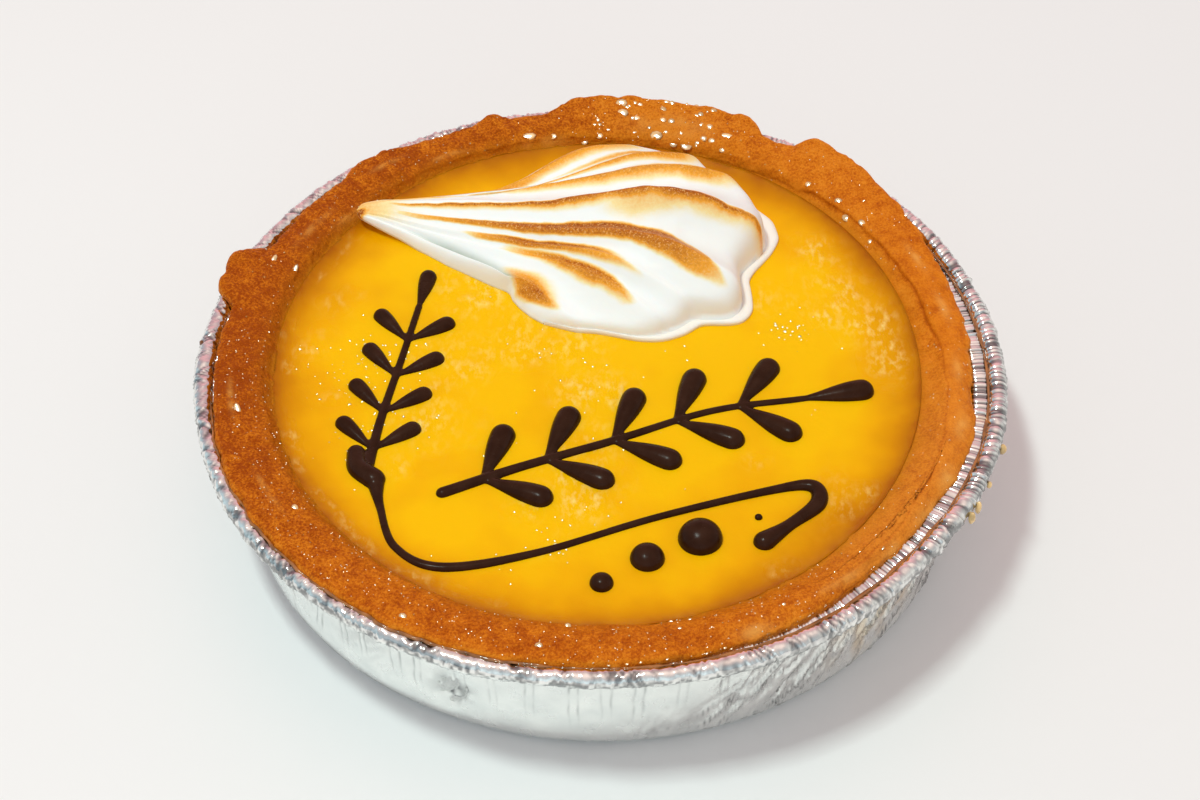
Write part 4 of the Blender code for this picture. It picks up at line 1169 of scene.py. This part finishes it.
def ball(rows, columns):
    """A unit ball as a lofted grid."""
    lifts = np.radians(np.linspace(-78.0, 78.0, rows))[:, None]
    turns = np.linspace(0.0, 2.0 * np.pi, columns, endpoint=False)
    across = np.cos(lifts)
    grid = np.broadcast_arrays(across * np.cos(turns), across * np.sin(turns), np.sin(lifts))
    return lofted(np.stack(grid, axis=-1))


def scattered(surface, places, sizes, seed, raggedness=0.0):
    """Copies of a small surface at places, each of its own (x, y, z) half sizes and turned
    about Z at random, with ragged points if asked."""
    draw = np.random.default_rng(seed)
    points = surface.points[None] * sizes[:, None]
    points = points * (1.0 + raggedness * draw.uniform(-1.0, 1.0, (*points.shape[:2], 1)))
    turn = draw.uniform(0.0, 2.0 * np.pi, len(places))[:, None]
    x = points[..., 0] * np.cos(turn) - points[..., 1] * np.sin(turn)
    y = points[..., 0] * np.sin(turn) + points[..., 1] * np.cos(turn)
    return copies(surface, np.stack([x, y, points[..., 2]], axis=-1) + places[:, None])


def bead_surface(settings):
    """Tiny beads of moisture on the curd, painted bright as glints, thickest on its left side."""
    draw = np.random.default_rng(61)
    count = settings.bead_count
    clusters = np.array(BEAD_CLUSTERS)
    clusters = clusters[draw.choice(len(clusters), count, p=clusters[:, 3])]
    places = clusters[:, :2] + draw.normal(0.0, 0.6, (count, 2)) * clusters[:, 2:3]
    places = places[np.hypot(places[:, 0], places[:, 1]) < 42.0]
    half = np.append(draw.uniform(0.08, 0.18, len(places)), np.full(len(CURD_DROPS), 0.26))
    places = np.concatenate([places, CURD_DROPS])
    places = np.column_stack([places, np.full(len(places), CURD_HEIGHT + 0.04)])
    sizes = half[:, None] * np.array((1.0, 1.0, DROP_THINNESS))
    return tilted_drops(places, sizes, draw.uniform(0.0, 6.28, len(places)), 62)


# ---------------------------------------------------------------- chocolate


def smooth_path(keys, spacing):
    """A Catmull-Rom curve through (x, y, half width) keys with even steps between them."""
    keys = np.array(keys, float)
    ends = np.concatenate([2.0 * keys[:1] - keys[1:2], keys, 2.0 * keys[-1:] - keys[-2:-1]])
    lengths = np.linalg.norm(np.diff(keys[:, :2], axis=0), axis=1)
    steps = np.maximum(1, np.round(lengths / spacing).astype(int))
    weights = curve_weights(len(ends), [1, *steps, 1])[1:-1]
    return weights @ ends


def leaf_path(root, heading, length, half_width):
    """A teardrop from its thin root to its fat end: its width swells as a power of a sine."""
    share = np.linspace(0.0, 1.0, 24)
    swell = np.sin(0.5 * np.pi * share) ** LEAF_SWELL
    width = half_width * (LEAF_ROOT + (1.0 - LEAF_ROOT) * swell)
    x = root[0] + np.cos(heading) * length * share
    y = root[1] + np.sin(heading) * length * share
    return np.stack([x, y, width], axis=1)


def sprig_paths(stem, pairs, length, half_width):
    """A stem, its pairs of leaves and the leaf at its end."""
    path = smooth_path(stem, STROKE_SPACING)
    paths = [path]
    for pair in range(pairs + 1):
        place = (len(path) - 1) * (pair + FIRST_PAIR) / (pairs + FIRST_PAIR)
        index = min(len(path) - 2, int(place))
        ahead = path[index + 1] - path[index]
        angle = math.atan2(ahead[1], ahead[0])
        turns = (0.0,) if pair == pairs else (LEAF_BEARING, -LEAF_BEARING)
        for turn in turns:
            paths.append(leaf_path(path[index], angle + math.radians(turn), length, half_width))
    return paths


def round_end(point, inner):
    """Rows past a stroke's end: its width falls as the root of one less the square."""
    outward = (point - inner)[:2] / np.linalg.norm((point - inner)[:2])
    share = np.sin(np.linspace(0.15, 0.98, 6) * np.pi / 2.0)[:, None]
    return np.hstack([point[:2] + outward * point[2] * share, point[2] * np.sqrt(1.0 - share**2)])


def stroke_surface(path, flatten):
    """A tube of changing width along a path on the curd, flattened a little, with round ends."""
    path = np.concatenate([round_end(path[0], path[1])[::-1], path, round_end(path[-1], path[-2])])
    ahead = np.gradient(path[:, :2], axis=0)
    ahead /= np.linalg.norm(ahead, axis=1, keepdims=True)
    turns = np.linspace(0.0, 2.0 * np.pi, STROKE_SIDES, endpoint=False)
    out = path[:, 2:] * np.cos(turns)
    x = path[:, :1] - ahead[:, 1:] * out
    y = path[:, 1:2] + ahead[:, :1] * out
    z = CURD_HEIGHT - 0.05 + flatten * path[:, 2:] * np.sin(turns)
    return lofted(np.stack([x, y, z], axis=-1))


def chocolate_mesh(settings):
    """All the strokes and drops, melted into one skin and smoothed where they meet."""
    paths = [smooth_path(UNDERLINE, STROKE_SPACING), smooth_path(START_BLOB, STROKE_SPACING)]
    for sprig in SPRIGS:
        paths += sprig_paths(*sprig)
    strokes = [stroke_surface(path, settings.flatten) for path in paths]
    places = np.array([(x, y, CURD_HEIGHT) for x, y, _radius in DROPS])
    sizes = np.array([(radius, radius, DROP_FLATTEN * radius) for _x, _y, radius in DROPS])
    drops = scattered(ball(24, 36), places, sizes, 71)
    melt = ("REMESH", {"mode": "VOXEL", "voxel_size": CHOCOLATE_GRAIN * MM})
    settle = ("SMOOTH", {"factor": 0.5, "iterations": CHOCOLATE_SMOOTHING})
    return finished_mesh("chocolate", gathered(strokes + [drops]), [melt, settle])


# ---------------------------------------------------------------- meringue


def softened(at, places, values, width):
    """Straight lines between the values at these places, rounded by a bell of neighbours."""
    offsets = np.linspace(-2.0, 2.0, 9)
    weights = np.exp(-(offsets**2))
    weights /= weights.sum()
    return sum(w * np.interp(at + o * width, places, values) for w, o in zip(weights, offsets))


def ridge_bearings(shares):
    """The bearing of each ridge (rows of shares by ridges), the front edge from its own keys."""
    paths = [softened(shares, PATH_SHARES, bearings, 0.04) for _height, bearings in RIDGES]
    paths[0] = softened(shares, *np.transpose(FRONT_EDGE), 0.008)
    return np.stack(paths, axis=1)


def shell_grid(settings, shares, places):
    """The fan of ridges. Rows run from the tip to the head by their share of the reach, and
    columns from the front edge to the back by their place among the ridges. The height is the
    tallest crest's rise times the ridges' own shares, less a sine flute between each two, and
    drops at the lip's crease as the root of one less a high power."""
    heights = np.array([height for height, _bearings in RIDGES])
    last = len(RIDGES) - 2
    number = np.clip(places.astype(int), 0, last)
    across = places - number
    paths = ridge_bearings(shares)
    bearings = paths[:, number] + (paths[:, number + 1] - paths[:, number]) * across
    ends = paths[-1, number] + (paths[-1, number + 1] - paths[-1, number]) * across
    share = shares[:, None]
    heading = np.radians(bearings)
    reach = softened(ends, *np.transpose(REACHES), 0.35) * share
    crease = softened(places, *np.transpose(LIP_CREASE), 0.2)
    rise = softened(share * np.interp(places, *STRETCH), *np.transpose(RISE), 0.01)
    rise = rise * np.sqrt(np.maximum(0.0, 1.0 - (share / crease) ** WALL_SHARPNESS))
    ridge = heights[number] + (heights[number + 1] - heights[number]) * eased(across)
    front = heights[number + 1] * np.sin(0.5 * np.pi * across) ** SIDE_ROUNDING
    back = heights[number] * np.abs(np.cos(0.5 * np.pi * across)) ** SIDE_ROUNDING
    ridge = np.where(number == 0, front, np.where(number == last, back, ridge))
    width = np.radians(paths[:, number + 1] - paths[:, number]) * reach
    depth = settings.flute_depth * width * np.sin(np.pi * across) * np.minimum(1.0, rise)
    depth = np.where((number == 0) | (number == last), 0.0, depth)
    height = settings.height / MM * rise * ridge - depth
    beyond = held((share - crease) / (1.0 - crease))
    roll = np.clip(LIP_ROLL * (1.0 - crease) * reach, LIP_LEAST, LIP_MOST)
    roll = roll * np.sqrt(1.0 - 0.96 * (2.0 * beyond - 1.0) ** 2) * (share > 0.8)
    height = np.maximum(height, roll)
    blunt = TIP_HALF_WIDTH * (1.0 - share) ** 3 * np.sqrt(np.minimum(1.0, share / BLUNTNESS))
    blunt = blunt * -np.cos(np.pi * places / (len(RIDGES) - 1))
    x = TIP[0] + reach * np.cos(heading)
    y = TIP[1] + reach * np.sin(heading) + blunt
    lift = np.maximum(0.0, 1.0 - reach / TIP_REST) ** 2
    floor = CURD_HEIGHT + GAP + (TIP_HEIGHT - CURD_HEIGHT - GAP) * lift
    return np.stack([x, y, floor + np.maximum(0.0, height)], axis=-1)


def toasted(grid, shares, places):
    """How brown each point is: for each stripe, its strength at that share of the reach
    between its first and last places, with ragged sides. The front side fades slowly and is
    paler, and the back side is crisp."""
    at = places + grains(grid, ((1.8, 0.035), (0.6, 0.015)), 81)
    brown = np.zeros(grid.shape[:2])
    for rows, (slow, crisp, least) in zip(TOASTED, TOAST_FADES):
        ends, *columns = np.transpose(rows)
        first, last, strength = (np.interp(shares, ends, column)[:, None] for column in columns)
        strength = strength * ((shares >= ends[0]) & (shares <= ends[-1]))[:, None]
        inside = held(np.minimum((at - first) / slow, (last - at) / crisp) + 0.5)
        depth = least + (1.0 - least) * held((at - first) / np.maximum(last - first, 0.05))
        brown = np.maximum(brown, TOAST_STRENGTH * strength * depth * eased(inside))
    share = shares[:, None]
    gilded = 0.3 * bell(share / 0.09) * eased(held((places - 1.2) / 1.5))
    burnt = 0.95 * bell((share - 0.012) / 0.014) * eased(held((5.0 - places) / 1.5))
    return held(np.maximum(brown, np.maximum(gilded, burnt)))


def meringue_surface(settings):
    """The piped shell on a flat base that sinks into the curd, its crests softened by a few
    rounds of averaging and its skin lumped by noise."""
    shares = 1.0 - (1.0 - np.linspace(0.0, 1.0, SHELL_ROWS)) ** ROW_CROWDING
    last = len(RIDGES) - 1
    places = np.arange(last * FLUTE_COLUMNS + 1) / FLUTE_COLUMNS
    grid = shell_grid(settings, shares, places)
    for _round in range(settings.crest_rounding):
        grid[:, 1:-1] = 0.25 * (grid[:, :-2] + 2.0 * grid[:, 1:-1] + grid[:, 2:])
    share = shares[:, None]
    # The fold is a groove, and its weight also paints shade in it.
    fold = places - softened(shares, *np.transpose(SKIRT_FOLD), 0.03)[:, None]
    fold = bell(fold / FOLD_HALF_WIDTH) * np.interp(share, *FOLD_FADES)
    height = grid[..., 2]
    floor = np.minimum(height, CURD_HEIGHT + GAP + 0.2)
    grid[..., 2] = np.maximum(height - FOLD_DEPTH * fold, floor)
    body = np.sin(np.pi * places / last) * np.minimum(1.0, 3.0 * share) * (1.0 - share**8)
    grid[..., 2] += body * grains(grid, ((5.0, 0.22), (2.0, 0.1)), 83)
    crease = softened(places, *np.transpose(LIP_CREASE), 0.2)
    thin = eased(held((share - crease + 0.01) / 0.02))
    values = {"toast": toasted(grid, shares, places), "thin": thin, "fold": fold}
    grid = np.concatenate([grid, grid[-1:] - (0.0, 0.0, SKIRT_DROP)])
    front = grid[:, :1] - (0.0, 0.0, BASE_SINK)
    back = grid[:, -1:] - (0.0, 0.0, BASE_SINK)
    base = back + (front - back) * np.linspace(0.0, 1.0, BASE_COLUMNS)[None, :, None]
    for name, value in values.items():
        value = np.concatenate([value, value[-1:]])
        values[name] = np.pad(value, ((0, 0), (0, BASE_COLUMNS)))
    return lofted(np.concatenate([grid, base], axis=1), **values)


# ---------------------------------------------------------------- syrup and crumbs


def thread_surface(bearings, middle, height, amount, half_width, half_height):
    """A thread of syrup carried round the tin at radii and heights, an ellipse across that
    comes and goes with its amount and falls to nothing at both ends."""
    amount = amount * np.sin(np.pi * np.linspace(0.0, 1.0, len(bearings))) ** 0.25
    turns = np.linspace(0.0, 2.0 * np.pi, 8, endpoint=False)
    radii = middle[:, None] + half_width * amount[:, None] * np.cos(turns)
    heights = height[:, None] + half_height * amount[:, None] * np.sin(turns)
    columns = bearings[:, None] + 0.0 * turns
    return lofted(revolved(radii - push_in(columns, heights), heights, columns))


def groove_surface():
    """Brown syrup in the groove beside the bead at the right, and red-brown syrup in front,
    where the crust's edge meets the bead's top."""
    bearings = np.linspace(-80.0, 30.0, 420)
    place = revolved(52.5, 19.9, bearings)
    amount = np.clip(0.6 + 0.6 * noise(place, 3.0, 91), 0.15, 1.0)
    middle = 52.5 + 0.04 * noise(place, 2.0, 92)
    groove = thread_surface(bearings, middle, np.full(420, 20.8), amount, 0.32, 0.18)
    bearings = np.linspace(-172.0, -42.0, 900)
    middle = np.clip(ragged_edge(bearings)[0] + 0.16, BEAD_CENTRE - 1.05, BEAD_CENTRE + 0.2)
    rest = BEAD_HEIGHT + np.sqrt(BEAD_RADIUS**2 - (middle - BEAD_CENTRE) ** 2)
    amount = np.clip(0.8 + 0.5 * noise(revolved(middle, rest, bearings), 1.6, 96), 0.2, 1.0)
    return gathered([groove, thread_surface(bearings, middle, rest + 0.08, amount, 0.3, 0.3)])


def drip_surface():
    """Drips of syrup that hang at the outside of the bead."""
    drips = np.array(DRIPS)
    places = revolved(drips[:, 1], drips[:, 2], drips[:, 0])
    return scattered(ball(10, 14), places, drips[:, 3:], 93, 0.05)


def crumb_surface(settings):
    """Loose crumbs in the groove and on the flange, and one big burnt crumb on the bead."""
    draw = np.random.default_rng(94)
    count = settings.crumb_count
    bearings = draw.choice((-30.0, 10.0, 170.0, 60.0), count) + draw.normal(0.0, 25.0, count)
    radii = draw.uniform(51.6, 52.9, count)
    heights = np.full(count, 20.0)
    places = revolved(radii - push_in(bearings, heights), heights, bearings)
    sizes = draw.uniform(0.08, 0.28, (count, 1)) * draw.uniform(0.6, 1.0, (count, 3))
    places = np.concatenate([places, revolved(*np.transpose([BURNT_CRUMB]))])
    sizes = np.concatenate([sizes, [(0.3, 0.3, 0.4)]])
    return scattered(ball(5, 7), places, sizes, 95, 0.35)


# ---------------------------------------------------------------- settings


def colour_setting(name, where, *default):
    """A colour that the user can change, described by where it shows."""
    return FloatVectorProperty(
        name=name, description="Colour " + where, subtype="COLOR", default=default, min=0.0, max=1.0)


class TartTinSettings(bpy.types.PropertyGroup):
    """Sizes and finish of the foil tin."""

    radius: FloatProperty(
        name="Radius", description="Outer radius over the rolled bead", unit="LENGTH",
        default=TIN_BOX[1].y, min=0.03, max=0.15)
    bead_radius: FloatProperty(
        name="Bead radius", description="Radius of the rolled bead", unit="LENGTH",
        default=BEAD_RADIUS * MM, min=0.0005, max=0.003)
    crimp_depth: FloatProperty(
        name="Crimp depth", description="Depth of the small crimps across the bead", unit="LENGTH",
        default=0.2 * MM, min=0.0, max=0.0005)
    pleat_scale: FloatProperty(
        name="Pleats", description="How deep the wall's creases are", default=1.0, min=0.0, max=3.0)
    rim_roughness: FloatProperty(
        name="Rim roughness", description="Roughness where the rim is dullest", subtype="FACTOR",
        default=0.16, min=0.05, max=1.0)
    wall_roughness: FloatProperty(
        name="Wall roughness", description="Roughness where the wall is dullest", subtype="FACTOR",
        default=0.3, min=0.05, max=1.0)
    # The colour of the painted shade in the foil's creases and dents and under the bead.
    crease_shade_colour: colour_setting("Crease", "down in the creases", 0.22, 0.222, 0.225)
    colour: colour_setting("Foil", "of bright foil", 0.98, 0.98, 0.95)
    shade: colour_setting("Dull foil", "where the foil is dull", 0.86, 0.87, 0.85)
    # The colour of the syrup film, also used on the wall for a painted brownish reflection.
    film_and_reflection_colour: colour_setting("Film", "of foil under dried syrup", 0.8, 0.55, 0.25)


class TartCrustSettings(bpy.types.PropertyGroup):
    """Relief and colours of the pastry case."""

    crumb_depth: FloatProperty(
        name="Crumb", description="How rough the pastry is", default=1.0, min=0.0, max=3.0)
    light: colour_setting("Light bake", "of the palest pastry", 0.82, 0.25, 0.016)
    middle: colour_setting("Middle bake", "of lightly baked pastry", 0.7, 0.185, 0.007)
    brown: colour_setting("Brown bake", "of well baked pastry", 0.54, 0.115, 0.003)
    dark: colour_setting("Dark bake", "of the darkest pastry", 0.36, 0.058, 0.001)
    # The colour of the pale painted sheen on the rim.
    haze: colour_setting("Haze", "where curd has dried on the pastry", 0.85, 0.36, 0.07)
    join: colour_setting("Join", "where the case meets the curd", 0.56, 0.19, 0.004)
    # The drops' pale cream body is a painted glint round each highlight.
    glaze_glint: colour_setting("Glaze", "of the drops of glaze", 0.95, 0.58, 0.26)


class TartCurdSettings(bpy.types.PropertyGroup):
    """Relief, colours and moisture of the lemon curd."""

    wrinkle_depth: FloatProperty(
        name="Wrinkles", description="Depth of the wrinkles in the skin", unit="LENGTH",
        default=0.05 * MM, min=0.0, max=0.0005)
    bead_count: IntProperty(
        name="Beads", description="Number of beads of moisture", default=260, min=1, max=2000)
    colour: colour_setting("Curd", "of the middle", 0.94, 0.505, 0.0)
    ring_colour: colour_setting("Ring", "some way in from the case", 0.86, 0.4, 0.0)
    edge_colour: colour_setting("Edge", "near the case", 0.66, 0.25, 0.0)
    # Amber, darkened with painted shade where the curd meets the case.
    rim_amber_and_shade_colour: colour_setting("Rim", "where the curd meets the case", 0.42, 0.11, 0.002)
    # The colour of the painted sheen along the wrinkles.
    wrinkle_sheen_colour: colour_setting("Wrinkle", "along the wrinkles of the skin", 1.0, 0.76, 0.26)


class TartChocolateSettings(bpy.types.PropertyGroup):
    """Form and colour of the piped chocolate."""

    flatten: FloatProperty(
        name="Flatten", description="Height of a stroke as a share of its half width",
        subtype="FACTOR", default=0.95, min=0.3, max=1.2)
    colour: colour_setting("Chocolate", "of the chocolate", 0.026, 0.0075, 0.0025)
    bloom_colour: colour_setting("Bloom", "where the chocolate has bloomed", 0.038, 0.013, 0.006)


class TartMeringueSettings(bpy.types.PropertyGroup):
    """Form and colours of the meringue shell."""

    height: FloatProperty(
        name="Height", description="Height above the curd", unit="LENGTH",
        default=SHELL_BOX[1].z - CURD_HEIGHT * MM - GAP * MM, min=0.002, max=0.03)
    flute_depth: FloatProperty(
        name="Flutes", description="Depth of a flute as a share of its width", subtype="FACTOR",
        default=0.3, min=0.0, max=0.6)
    crest_rounding: IntProperty(
        name="Rounding", description="Rounds of averaging over the crests", default=8, min=0, max=60)
    colour: colour_setting("Meringue", "where it isn't browned", 0.93, 0.93, 0.91)
    lip: colour_setting("Lip", "of the thin lip round the head", 0.95, 0.88, 0.81)
    # The colour of the painted shade in the fold.
    fold: colour_setting("Fold", "down in the fold beside the front lobe", 0.56, 0.61, 0.55)
    cream: colour_setting("Cream", "at the edge of a browned stripe", 0.97, 0.76, 0.38)
    # The colour of the painted glints on a browned stripe.
    sugar_glint: colour_setting("Sugar", "of the melted sugar on a browned stripe", 1.0, 0.64, 0.26)
    gold: colour_setting("Gold", "where it is lightly browned", 0.92, 0.4, 0.04)
    brown: colour_setting("Brown", "where it is well browned", 0.48, 0.125, 0.008)
    dark: colour_setting("Dark", "where it is darkest", 0.3, 0.065, 0.004)


class TartSyrupSettings(bpy.types.PropertyGroup):
    """Colours of the syrup and the crumbs."""

    crumb_count: IntProperty(
        name="Crumbs", description="Number of loose crumbs", default=90, min=1, max=2000)
    groove_colour: colour_setting("Groove", "of the syrup in the rim's groove", 0.42, 0.145, 0.03)
    drip_colour: colour_setting("Drips", "of the drips on the bead", 1.0, 0.66, 0.28)


class TartStageSettings(bpy.types.PropertyGroup):
    """Floor, lights and camera."""

    floor_colour: colour_setting("Floor", "of the floor", 0.86, 0.86, 0.86)
    key_power: FloatProperty(
        name="Key light", description="Power of the light from above", unit="POWER",
        default=3.7, min=0.0, max=200.0)
    key_colour: colour_setting("Key colour", "of the light from above", 0.84, 1.0, 0.95)
    fill_strength: FloatProperty(
        name="Fill light", description="Strength of the light from all round",
        default=1.0, min=0.0, max=5.0)
    fill_colour: colour_setting(
        "Fill colour", "of the light that comes from everywhere", 0.13, 0.13, 0.17)
    lens: FloatProperty(
        name="Lens", description="Focal length of the camera in mm", default=75.0, min=10.0, max=300.0)


# ---------------------------------------------------------------- operators


class TART_OT_stage(bpy.types.Operator):
    """Make the floor, the lights and the camera"""

    bl_idname = "tart.stage"
    bl_label = "Stage"

    def execute(self, context):
        scene, settings = context.scene, context.scene.tart_stage
        mesh = bpy.data.meshes.new("floor")
        corners = ((-1, -1), (1, -1), (1, 1), (-1, 1))
        corners = [(x * FLOOR_HALF, y * FLOOR_HALF, 0.0) for x, y in corners]
        mesh.from_pydata(corners, [], [(0, 1, 2, 3)])
        floor = bpy.data.objects.new("floor", mesh)
        scene.collection.objects.link(floor)
        material, tree = new_finish("floor", {"Roughness": 0.35, "Specular IOR Level": 0.3})
        darker = tuple(0.985 * channel for channel in settings.floor_colour)
        tone = object_noise(tree, 6.0, detail=1.0)
        tone = ramped(tree, tone, (0.35, darker), (0.65, settings.floor_colour))
        mesh.materials.append(wired(material, tone))
        self.light_from_above(scene, settings)
        self.light_all_round(scene, settings)
        lens = bpy.data.cameras.new("camera")
        lens.lens = settings.lens
        lens.sensor_width = 36.0
        lens.clip_start = 0.01
        roll = Matrix.Rotation(math.radians(CAMERA_ROLL), 4, "Z")
        scene.camera = self.aimed("camera", lens, scene, EYE_PLACE, EYE_AIM, roll)
        scene.view_settings.view_transform = "Standard"
        return {"FINISHED"}

    def aimed(self, name, data, scene, place, target, roll=Matrix()):
        """A lamp or camera at a place, pointed at a target and rolled. Both points are in mm."""
        aimed = bpy.data.objects.new(name, data)
        scene.collection.objects.link(aimed)
        place, target = Vector(place) * MM, Vector(target) * MM
        look = (target - place).to_track_quat("-Z", "Y").to_matrix().to_4x4()
        aimed.matrix_world = Matrix.Translation(place) @ look @ roll
        return aimed

    def light_from_above(self, scene, settings):
        """An oblong lamp that points at the tart."""
        lamp = bpy.data.lights.new("key", "AREA")
        lamp.shape = "RECTANGLE"
        lamp.size, lamp.size_y = KEY_SIZES
        lamp.energy = settings.key_power
        lamp.color = settings.key_colour
        self.aimed("key", lamp, scene, LIGHT_PLACE, LIGHT_AIM)

    def light_all_round(self, scene, settings):
        """Even light with a soft lobe of colour from each side of the studio: the lobe is a
        power of the cosine of the angle from that side."""
        scene.world = bpy.data.worlds.new("studio")
        scene.world.use_nodes = True
        tree = scene.world.node_tree
        heading = add_node(tree, "ShaderNodeTexCoord").outputs["Generated"]
        sky = tuple(settings.fill_colour)
        for towards, colour in SKY:
            facing = [(0, heading), (1, Vector(towards).normalized())]
            share = add_node(tree, "ShaderNodeVectorMath", facing, operation="DOT_PRODUCT")
            share = mathed(tree, "MAXIMUM", share.outputs["Value"], 0.0)
            lobe = [(0, colour), ("Scale", mathed(tree, "POWER", share, SKY_SHARPNESS))]
            lobe = add_node(tree, "ShaderNodeVectorMath", lobe, operation="SCALE").outputs[0]
            sky = add_node(tree, "ShaderNodeVectorMath", [(0, sky), (1, lobe)]).outputs[0]
        background = tree.nodes["Background"]
        tree.links.new(sky, background.inputs["Color"])
        background.inputs["Strength"].default_value = settings.fill_strength


class TART_OT_tin(bpy.types.Operator):
    """Make the foil tin: its wall and base, and its flange and bead"""

    bl_idname = "tart.tin"
    bl_label = "Foil tin"

    def execute(self, context):
        settings = context.scene.tart_tin
        rolled = foil_finish("rolled_foil", settings, settings.rim_roughness)
        put_in_place("tin_rim", tin_rim_surface(settings), rolled, "foil", "foil_tin")
        drawn = foil_finish("drawn_foil", settings, settings.wall_roughness)
        put_in_place("tin_wall", tin_wall_surface(settings), drawn, "foil", "foil_tin")
        return {"FINISHED"}


class TART_OT_crust(bpy.types.Operator):
    """Make the pastry case and the drops of glaze on it"""

    bl_idname = "tart.crust"
    bl_label = "Pastry case"

    def execute(self, context):
        settings = context.scene.tart_crust
        crust = crust_surface(settings)
        put_in_place("crust", crust, pastry_finish(settings), "pastry", "pastry_crust")
        # The drops' pale colour paints the glints on the crust.
        glaze_glint = syrup_finish("glaze_glint", settings.glaze_glint)
        put_in_place("glaze_drops", glaze_surface(crust), glaze_glint, "pastry")
        return {"FINISHED"}


class TART_OT_curd(bpy.types.Operator):
    """Make the lemon curd and the beads of moisture on it"""

    bl_idname = "tart.curd"
    bl_label = "Lemon curd"

    def execute(self, context):
        settings = context.scene.tart_curd
        put_in_place("curd", curd_surface(settings), curd_finish(settings), "curd", "lemon_curd")
        moisture = syrup_finish("moisture", MOISTURE_GLINT_COLOUR)
        put_in_place("curd_beads", bead_surface(settings), moisture, "curd")
        return {"FINISHED"}


class TART_OT_chocolate(bpy.types.Operator):
    """Make the piped chocolate"""

    bl_idname = "tart.chocolate"
    bl_label = "Piped chocolate"

    def execute(self, context):
        settings = context.scene.tart_chocolate
        finish = chocolate_finish(settings)
        put_in_place("chocolate", chocolate_mesh(settings), finish, "chocolate", "lemon_curd")
        return {"FINISHED"}


class TART_OT_meringue(bpy.types.Operator):
    """Make the toasted meringue shell"""

    bl_idname = "tart.meringue"
    bl_label = "Meringue"

    def execute(self, context):
        settings = context.scene.tart_meringue
        finish = meringue_finish(settings)
        put_in_place("meringue_shell", meringue_surface(settings), finish, "meringue", "meringue")
        return {"FINISHED"}


class TART_OT_syrup(bpy.types.Operator):
    """Make the syrup in the rim's groove, its drips and the loose crumbs"""

    bl_idname = "tart.syrup"
    bl_label = "Syrup and crumbs"

    def execute(self, context):
        settings = context.scene.tart_syrup
        syrup = syrup_finish("syrup", settings.groove_colour)
        put_in_place("groove_syrup", groove_surface(), syrup, "pastry")
        drips = syrup_finish("drips", settings.drip_colour)
        put_in_place("syrup_drips", drip_surface(), drips, "pastry")
        burnt = syrup_finish("crumbs", CRUMB_COLOUR)
        put_in_place("crumbs", crumb_surface(settings), burnt, "pastry")
        return {"FINISHED"}


class TART_PT_panel(bpy.types.Panel):
    """The tart's settings and its operators"""

    bl_idname = "TART_PT_panel"
    bl_label = "Lemon tart"
    bl_space_type = "VIEW_3D"
    bl_region_type = "UI"
    bl_category = "Tart"

    def draw(self, context):
        for group, operator in STEPS:
            box = self.layout.box()
            box.operator(operator)
            settings = getattr(context.scene, group)
            for name in settings.__annotations__:
                box.prop(settings, name)


GROUPS = (
    ("tart_stage", TartStageSettings),
    ("tart_tin", TartTinSettings),
    ("tart_crust", TartCrustSettings),
    ("tart_curd", TartCurdSettings),
    ("tart_chocolate", TartChocolateSettings),
    ("tart_meringue", TartMeringueSettings),
    ("tart_syrup", TartSyrupSettings),
)
STEPS = tuple((group, group.replace("_", ".", 1)) for group, _settings in GROUPS)
OPERATORS = (
    TART_OT_stage,
    TART_OT_tin,
    TART_OT_crust,
    TART_OT_curd,
    TART_OT_chocolate,
    TART_OT_meringue,
    TART_OT_syrup,
)


def register():
    """Add the settings, the operators and the panel to Blender."""
    for name, settings in GROUPS:
        bpy.utils.register_class(settings)
        setattr(bpy.types.Scene, name, PointerProperty(type=settings))
    for operator in OPERATORS:
        bpy.utils.register_class(operator)
    bpy.utils.register_class(TART_PT_panel)


def unregister():
    """Take them out again."""
    bpy.utils.unregister_class(TART_PT_panel)
    for operator in reversed(OPERATORS):
        bpy.utils.unregister_class(operator)
    for name, settings in reversed(GROUPS):
        delattr(bpy.types.Scene, name)
        bpy.utils.unregister_class(settings)


def main():
    register()
    bpy.ops.tart.stage()
    bpy.ops.tart.tin()
    bpy.ops.tart.crust()
    bpy.ops.tart.curd()
    bpy.ops.tart.chocolate()
    bpy.ops.tart.meringue()
    bpy.ops.tart.syrup()


if __name__ == "__main__":
    main()
